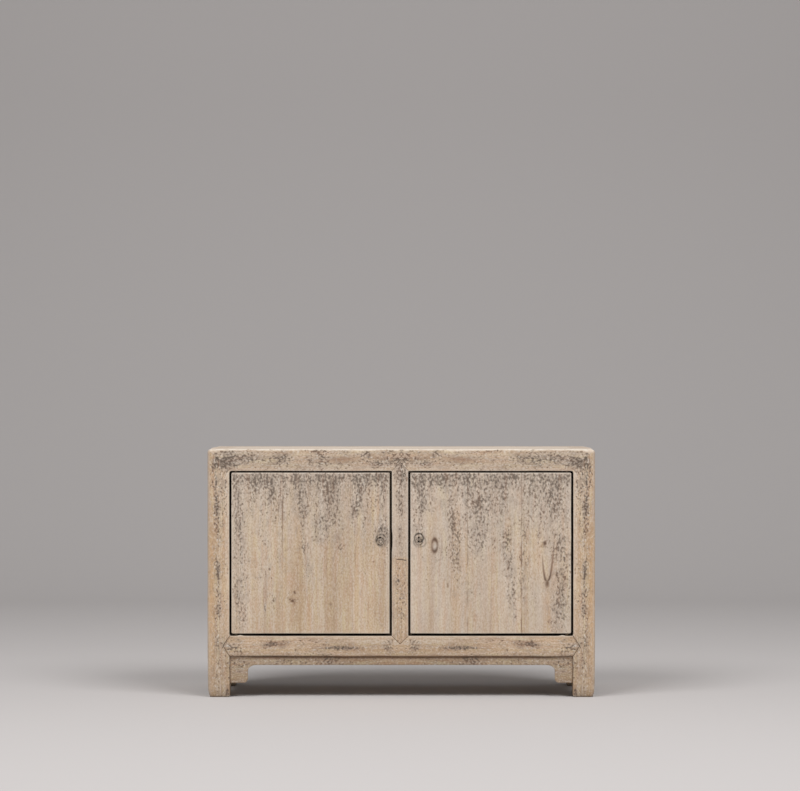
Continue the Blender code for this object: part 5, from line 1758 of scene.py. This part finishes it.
class SIDEBOARD_OT_dress_doors(bpy.types.Operator):
    """Make the planks, battens, pins and plug of both doors"""

    bl_idname = "sideboard.dress_doors"
    bl_label = "Doors"

    def execute(self, context):
        sizes = context.scene.sideboard_wear
        for door in ("left_door", "right_door"):
            for plank in ("pivot", "middle", "meeting"):
                make_plank(door, plank, sizes)
            back = door_edges(door)[1][1]
            for batten in ("upper", "lower"):
                node = f"{door}_{batten}_batten"
                low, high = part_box(node)
                make_board(node, ALONG_X, (low.x, back, low.z), high, INNER_PINE, sizes)
            for pin in ("top", "bottom"):
                make_round(f"{door}_{pin}_pivot_pin", 2)
        make_round(PLUG_NODE, 1, DOOR_PINE[0], lighter=-0.4, greyed=1.0)
        return {"FINISHED"}


def held_within(low, high, limit):
    """A board's two edges, kept within a limit to either side of the middle."""
    return max(low, -limit), min(high, limit)


def hanging_patina(top):
    """Patina of a side or back: streaks down from the top rail and thin clouds below."""
    def density(points):
        hanging = streaks_from_top(points, top, 0.060, 61)
        clouds = cloudy(points, (0.04, 0.04, 0.13), 67, 0.50, 0.88)
        return 1.0 - (1.0 - 0.75 * hanging) * (1.0 - 0.40 * clouds)
    return density


def faint_patina(points):
    """Patina of the top: thin clouds along the boards."""
    return 0.45 * cloudy(points, (0.14, 0.03, 0.03), 71, 0.45, 0.90)


class SIDEBOARD_OT_dress_boards(bpy.types.Operator):
    """Make the boards of the sides, the back and the top, with the battens under the top"""

    bl_idname = "sideboard.dress_boards"
    bl_label = "Boards"

    def execute(self, context):
        sizes = context.scene.sideboard_wear
        bottom = RAIL_HIGH + JOINT_GAP
        top = TOP_RAIL_BOTTOM - JOINT_GAP
        half_x = INNER_X - JOINT_GAP
        half_y = INNER_Y - JOINT_GAP
        patina = hanging_patina(top)
        for side in ("left", "right"):
            for number in (1, 2):
                node = f"{side}_side_board_{number}"
                low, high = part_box(node)
                near, far = held_within(low.y, high.y, half_y)
                make_board(node, UPRIGHT_AT_SIDE, (low.x, near, bottom), (high.x, far, top), BOARD_PINE,
                           sizes, patina, SIDE_STEP)
        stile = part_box("rear_stile")
        for number in (1, 2, 3, 4):
            node = f"back_board_{number}"
            low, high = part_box(node)
            left, right = (stile[1].x, INNER_X) if low.x > 0.0 else (-INNER_X, stile[0].x)
            left = max(low.x, left + JOINT_GAP)
            right = min(high.x, right - JOINT_GAP)
            make_board(node, UPRIGHT, (left, low.y, bottom), (right, high.y, top), BOARD_PINE, sizes, patina,
                       BOARD_STEP)
        for place in ("front", "middle", "rear"):
            node = f"top_board_{place}"
            low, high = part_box(node)
            near, far = held_within(low.y, high.y, half_y)
            make_board(node, FLAT_ALONG_X, (-half_x, near, low.z), (half_x, far, high.z), BOARD_PINE, sizes,
                       faint_patina, BOARD_STEP, greyed=1.3, bleached=0.25)
        for hand in ("left", "right"):
            node = f"top_batten_{hand}"
            low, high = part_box(node)
            make_board(node, FLAT_ALONG_Y, (low.x, -half_y, low.z), (high.x, half_y, high.z), INNER_PINE,
                       sizes)
        return {"FINISHED"}


def painted_stop_shade(points):
    """Painted shade on the stops, in the corner that shows through the gaps beside the stile."""
    from_stile = np.clip(np.abs(points[:, 0] - STILE_MIDDLE) - STILE_HALF, 0.0, None)
    return 0.92 * line_over(from_stile, 0.0045)


class SIDEBOARD_OT_dress_inside(bpy.types.Operator):
    """Make the floor boards, the shelf and its bearers, and the door stops with their pegs"""

    bl_idname = "sideboard.dress_inside"
    bl_label = "Inside"

    def execute(self, context):
        sizes = context.scene.sideboard_wear
        long_end = HALF_X - RAIL_DEPTH - JOINT_GAP
        short_end = INNER_X - JOINT_GAP
        half_y = HALF_Y - RAIL_DEPTH - JOINT_GAP
        turn = INNER_Y - JOINT_GAP
        notches = [hand * turn + side for hand in (-1.0, 1.0) for side in (-NOTCH_STEP, NOTCH_STEP)]

        def notched_end(hand):
            return lambda across, deep: hand * np.where(np.abs(across) > turn, short_end, long_end)

        for place in ("front", "middle", "rear"):
            node = f"floor_board_{place}"
            low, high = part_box(node)
            near, far = held_within(low.y, high.y, half_y)
            turns = [y for y in notches if near < y < far]
            make_board(node, FLAT_ALONG_X, (-long_end, near, low.z), (long_end, far, high.z), INNER_PINE,
                       sizes, start=notched_end(-1.0), end=notched_end(1.0), extra=turns)
        for place in ("front", "rear"):
            node = f"shelf_board_{place}"
            make_board(node, FLAT_ALONG_X, *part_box(node), INNER_PINE, sizes)
        for hand in ("left", "right"):
            node = f"shelf_bearer_{hand}"
            low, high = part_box(node)
            make_board(node, FLAT_ALONG_Y, (low.x, -turn, low.z), (high.x, turn, high.z), INNER_PINE, sizes)
            node = f"{hand}_door_stop"
            make_board(node, UPRIGHT, *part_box(node), INNER_PINE, sizes, grime=painted_stop_shade)
            for level in ("lower", "upper"):
                node = f"{hand}_stop_{level}_peg"
                make_board(node, FLAT_ALONG_X, *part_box(node), HARDWOOD, sizes, step=PEG_STEP)
        node = "shelf_bearer_middle"
        low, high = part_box(node)
        front = -HALF_Y + STILE_DEPTH + JOINT_GAP
        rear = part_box("rear_stile")[0].y - JOINT_GAP
        make_board(node, FLAT_ALONG_Y, (low.x, front, low.z), (high.x, rear, high.z), INNER_PINE, sizes)
        return {"FINISHED"}


def aimed_light(name, power, place):
    """A broad soft light that faces the cabinet."""
    light = bpy.data.lights.new(name, "AREA")
    light.energy = power
    light.shape = "RECTANGLE"
    light.size = LIGHT_SIZE
    light.size_y = LIGHT_SIZE
    lamp = bpy.data.objects.new(name, light)
    lamp.location = place
    lamp.rotation_euler = (Vector(LIGHT_TARGET) - Vector(place)).to_track_quat("-Z", "Y").to_euler()
    bpy.context.scene.collection.objects.link(lamp)


def make_sweep(color):
    """A floor that turns up into a backdrop: a line, a quarter circle and a line carried along X."""
    turn = np.linspace(0.0, math.pi / 2, SWEEP_POINTS)
    arc = np.column_stack((BACKDROP_Y - SWEEP_RADIUS + SWEEP_RADIUS * np.sin(turn),
                           SWEEP_RADIUS * (1.0 - np.cos(turn))))
    profile = np.concatenate((((FLOOR_FRONT, 0.0),), arc, ((BACKDROP_Y, BACKDROP_TOP),)))
    across = np.linspace(-SWEEP_HALF, SWEEP_HALF, 3)
    grid = np.empty((len(profile), len(across), 3))
    grid[..., 0] = across
    grid[..., 1:] = profile[:, None, :]
    index = np.arange(grid[..., 0].size).reshape(grid.shape[:2])
    faces = np.stack((index[:-1, :-1], index[:-1, 1:], index[1:, 1:], index[1:, :-1]), axis=-1).reshape(-1, 4)
    mesh = bpy.data.meshes.new("sweep")
    mesh.from_pydata(grid.reshape(-1, 3).tolist(), [], faces.tolist())
    mesh.shade_smooth()
    plain = Finish("plain_floor")
    plain.fill(plain.shader.inputs["Base Color"], paint(color))
    plain.fill(plain.shader.inputs["Roughness"], 0.9)
    mesh.materials.append(plain.material)
    sweep = bpy.data.objects.new("sweep", mesh)
    bpy.context.scene.collection.objects.link(sweep)


class SIDEBOARD_OT_set_stage(bpy.types.Operator):
    """Set the floor, the lights and the camera"""

    bl_idname = "sideboard.set_stage"
    bl_label = "Stage"

    def execute(self, context):
        scene = context.scene
        settings = scene.sideboard_stage
        make_sweep(settings.floor)
        aside, forward, up = LIGHT_PLACE
        aimed_light("left_key", settings.key_power, (-aside, forward, up))
        aimed_light("right_key", settings.key_power, (aside, forward, up))

        world = bpy.data.worlds.new("even_light")
        world.use_nodes = True
        background = world.node_tree.nodes["Background"]
        background.inputs["Color"].default_value = SKY_COLOR
        background.inputs["Strength"].default_value = settings.sky
        scene.world = world

        camera = bpy.data.cameras.new("camera")
        camera.lens = settings.lens
        camera.sensor_width = SENSOR_WIDTH
        viewer = bpy.data.objects.new("camera", camera)
        viewer.location = (settings.offset, -HALF_Y - settings.distance, settings.height)
        viewer.rotation_euler = (math.pi / 2 + settings.tilt, 0.0, 0.0)
        scene.collection.objects.link(viewer)
        scene.camera = viewer
        scene.view_settings.view_transform = "Standard"
        return {"FINISHED"}


OPERATORS = (SIDEBOARD_OT_mix_finishes, SIDEBOARD_OT_dress_posts, SIDEBOARD_OT_dress_rails,
             SIDEBOARD_OT_dress_stiles, SIDEBOARD_OT_dress_aprons, SIDEBOARD_OT_dress_doors,
             SIDEBOARD_OT_dress_boards, SIDEBOARD_OT_dress_inside, SIDEBOARD_OT_set_stage)


class SIDEBOARD_PT_panel(bpy.types.Panel):
    """Lists the sideboard's operators and settings"""

    bl_idname = "SIDEBOARD_PT_panel"
    bl_label = "Sideboard"
    bl_space_type = "VIEW_3D"
    bl_region_type = "UI"
    bl_category = "Sideboard"

    def draw(self, context):
        for operator in OPERATORS:
            self.layout.operator(operator.bl_idname)
        for group in SETTINGS:
            box = self.layout.box()
            settings = getattr(context.scene, group)
            for name in settings.bl_rna.properties.keys():
                if name not in ("rna_type", "name"):
                    box.prop(settings, name)


SETTINGS = {"sideboard_tones": PineTones, "sideboard_wear": WearSizes, "sideboard_stage": StageSettings}
CLASSES = (*SETTINGS.values(), *OPERATORS, SIDEBOARD_PT_panel)


def register():
    for item in CLASSES:
        bpy.utils.register_class(item)
    for name, group in SETTINGS.items():
        setattr(bpy.types.Scene, name, bpy.props.PointerProperty(type=group))


def unregister():
    for name in SETTINGS:
        delattr(bpy.types.Scene, name)
    for item in reversed(CLASSES):
        bpy.utils.unregister_class(item)


def main():
    """Runs every operator."""
    register()
    for operator in OPERATORS:
        group, action = operator.bl_idname.split(".")
        getattr(getattr(bpy.ops, group), action)()


if __name__ == "__main__":
    main()
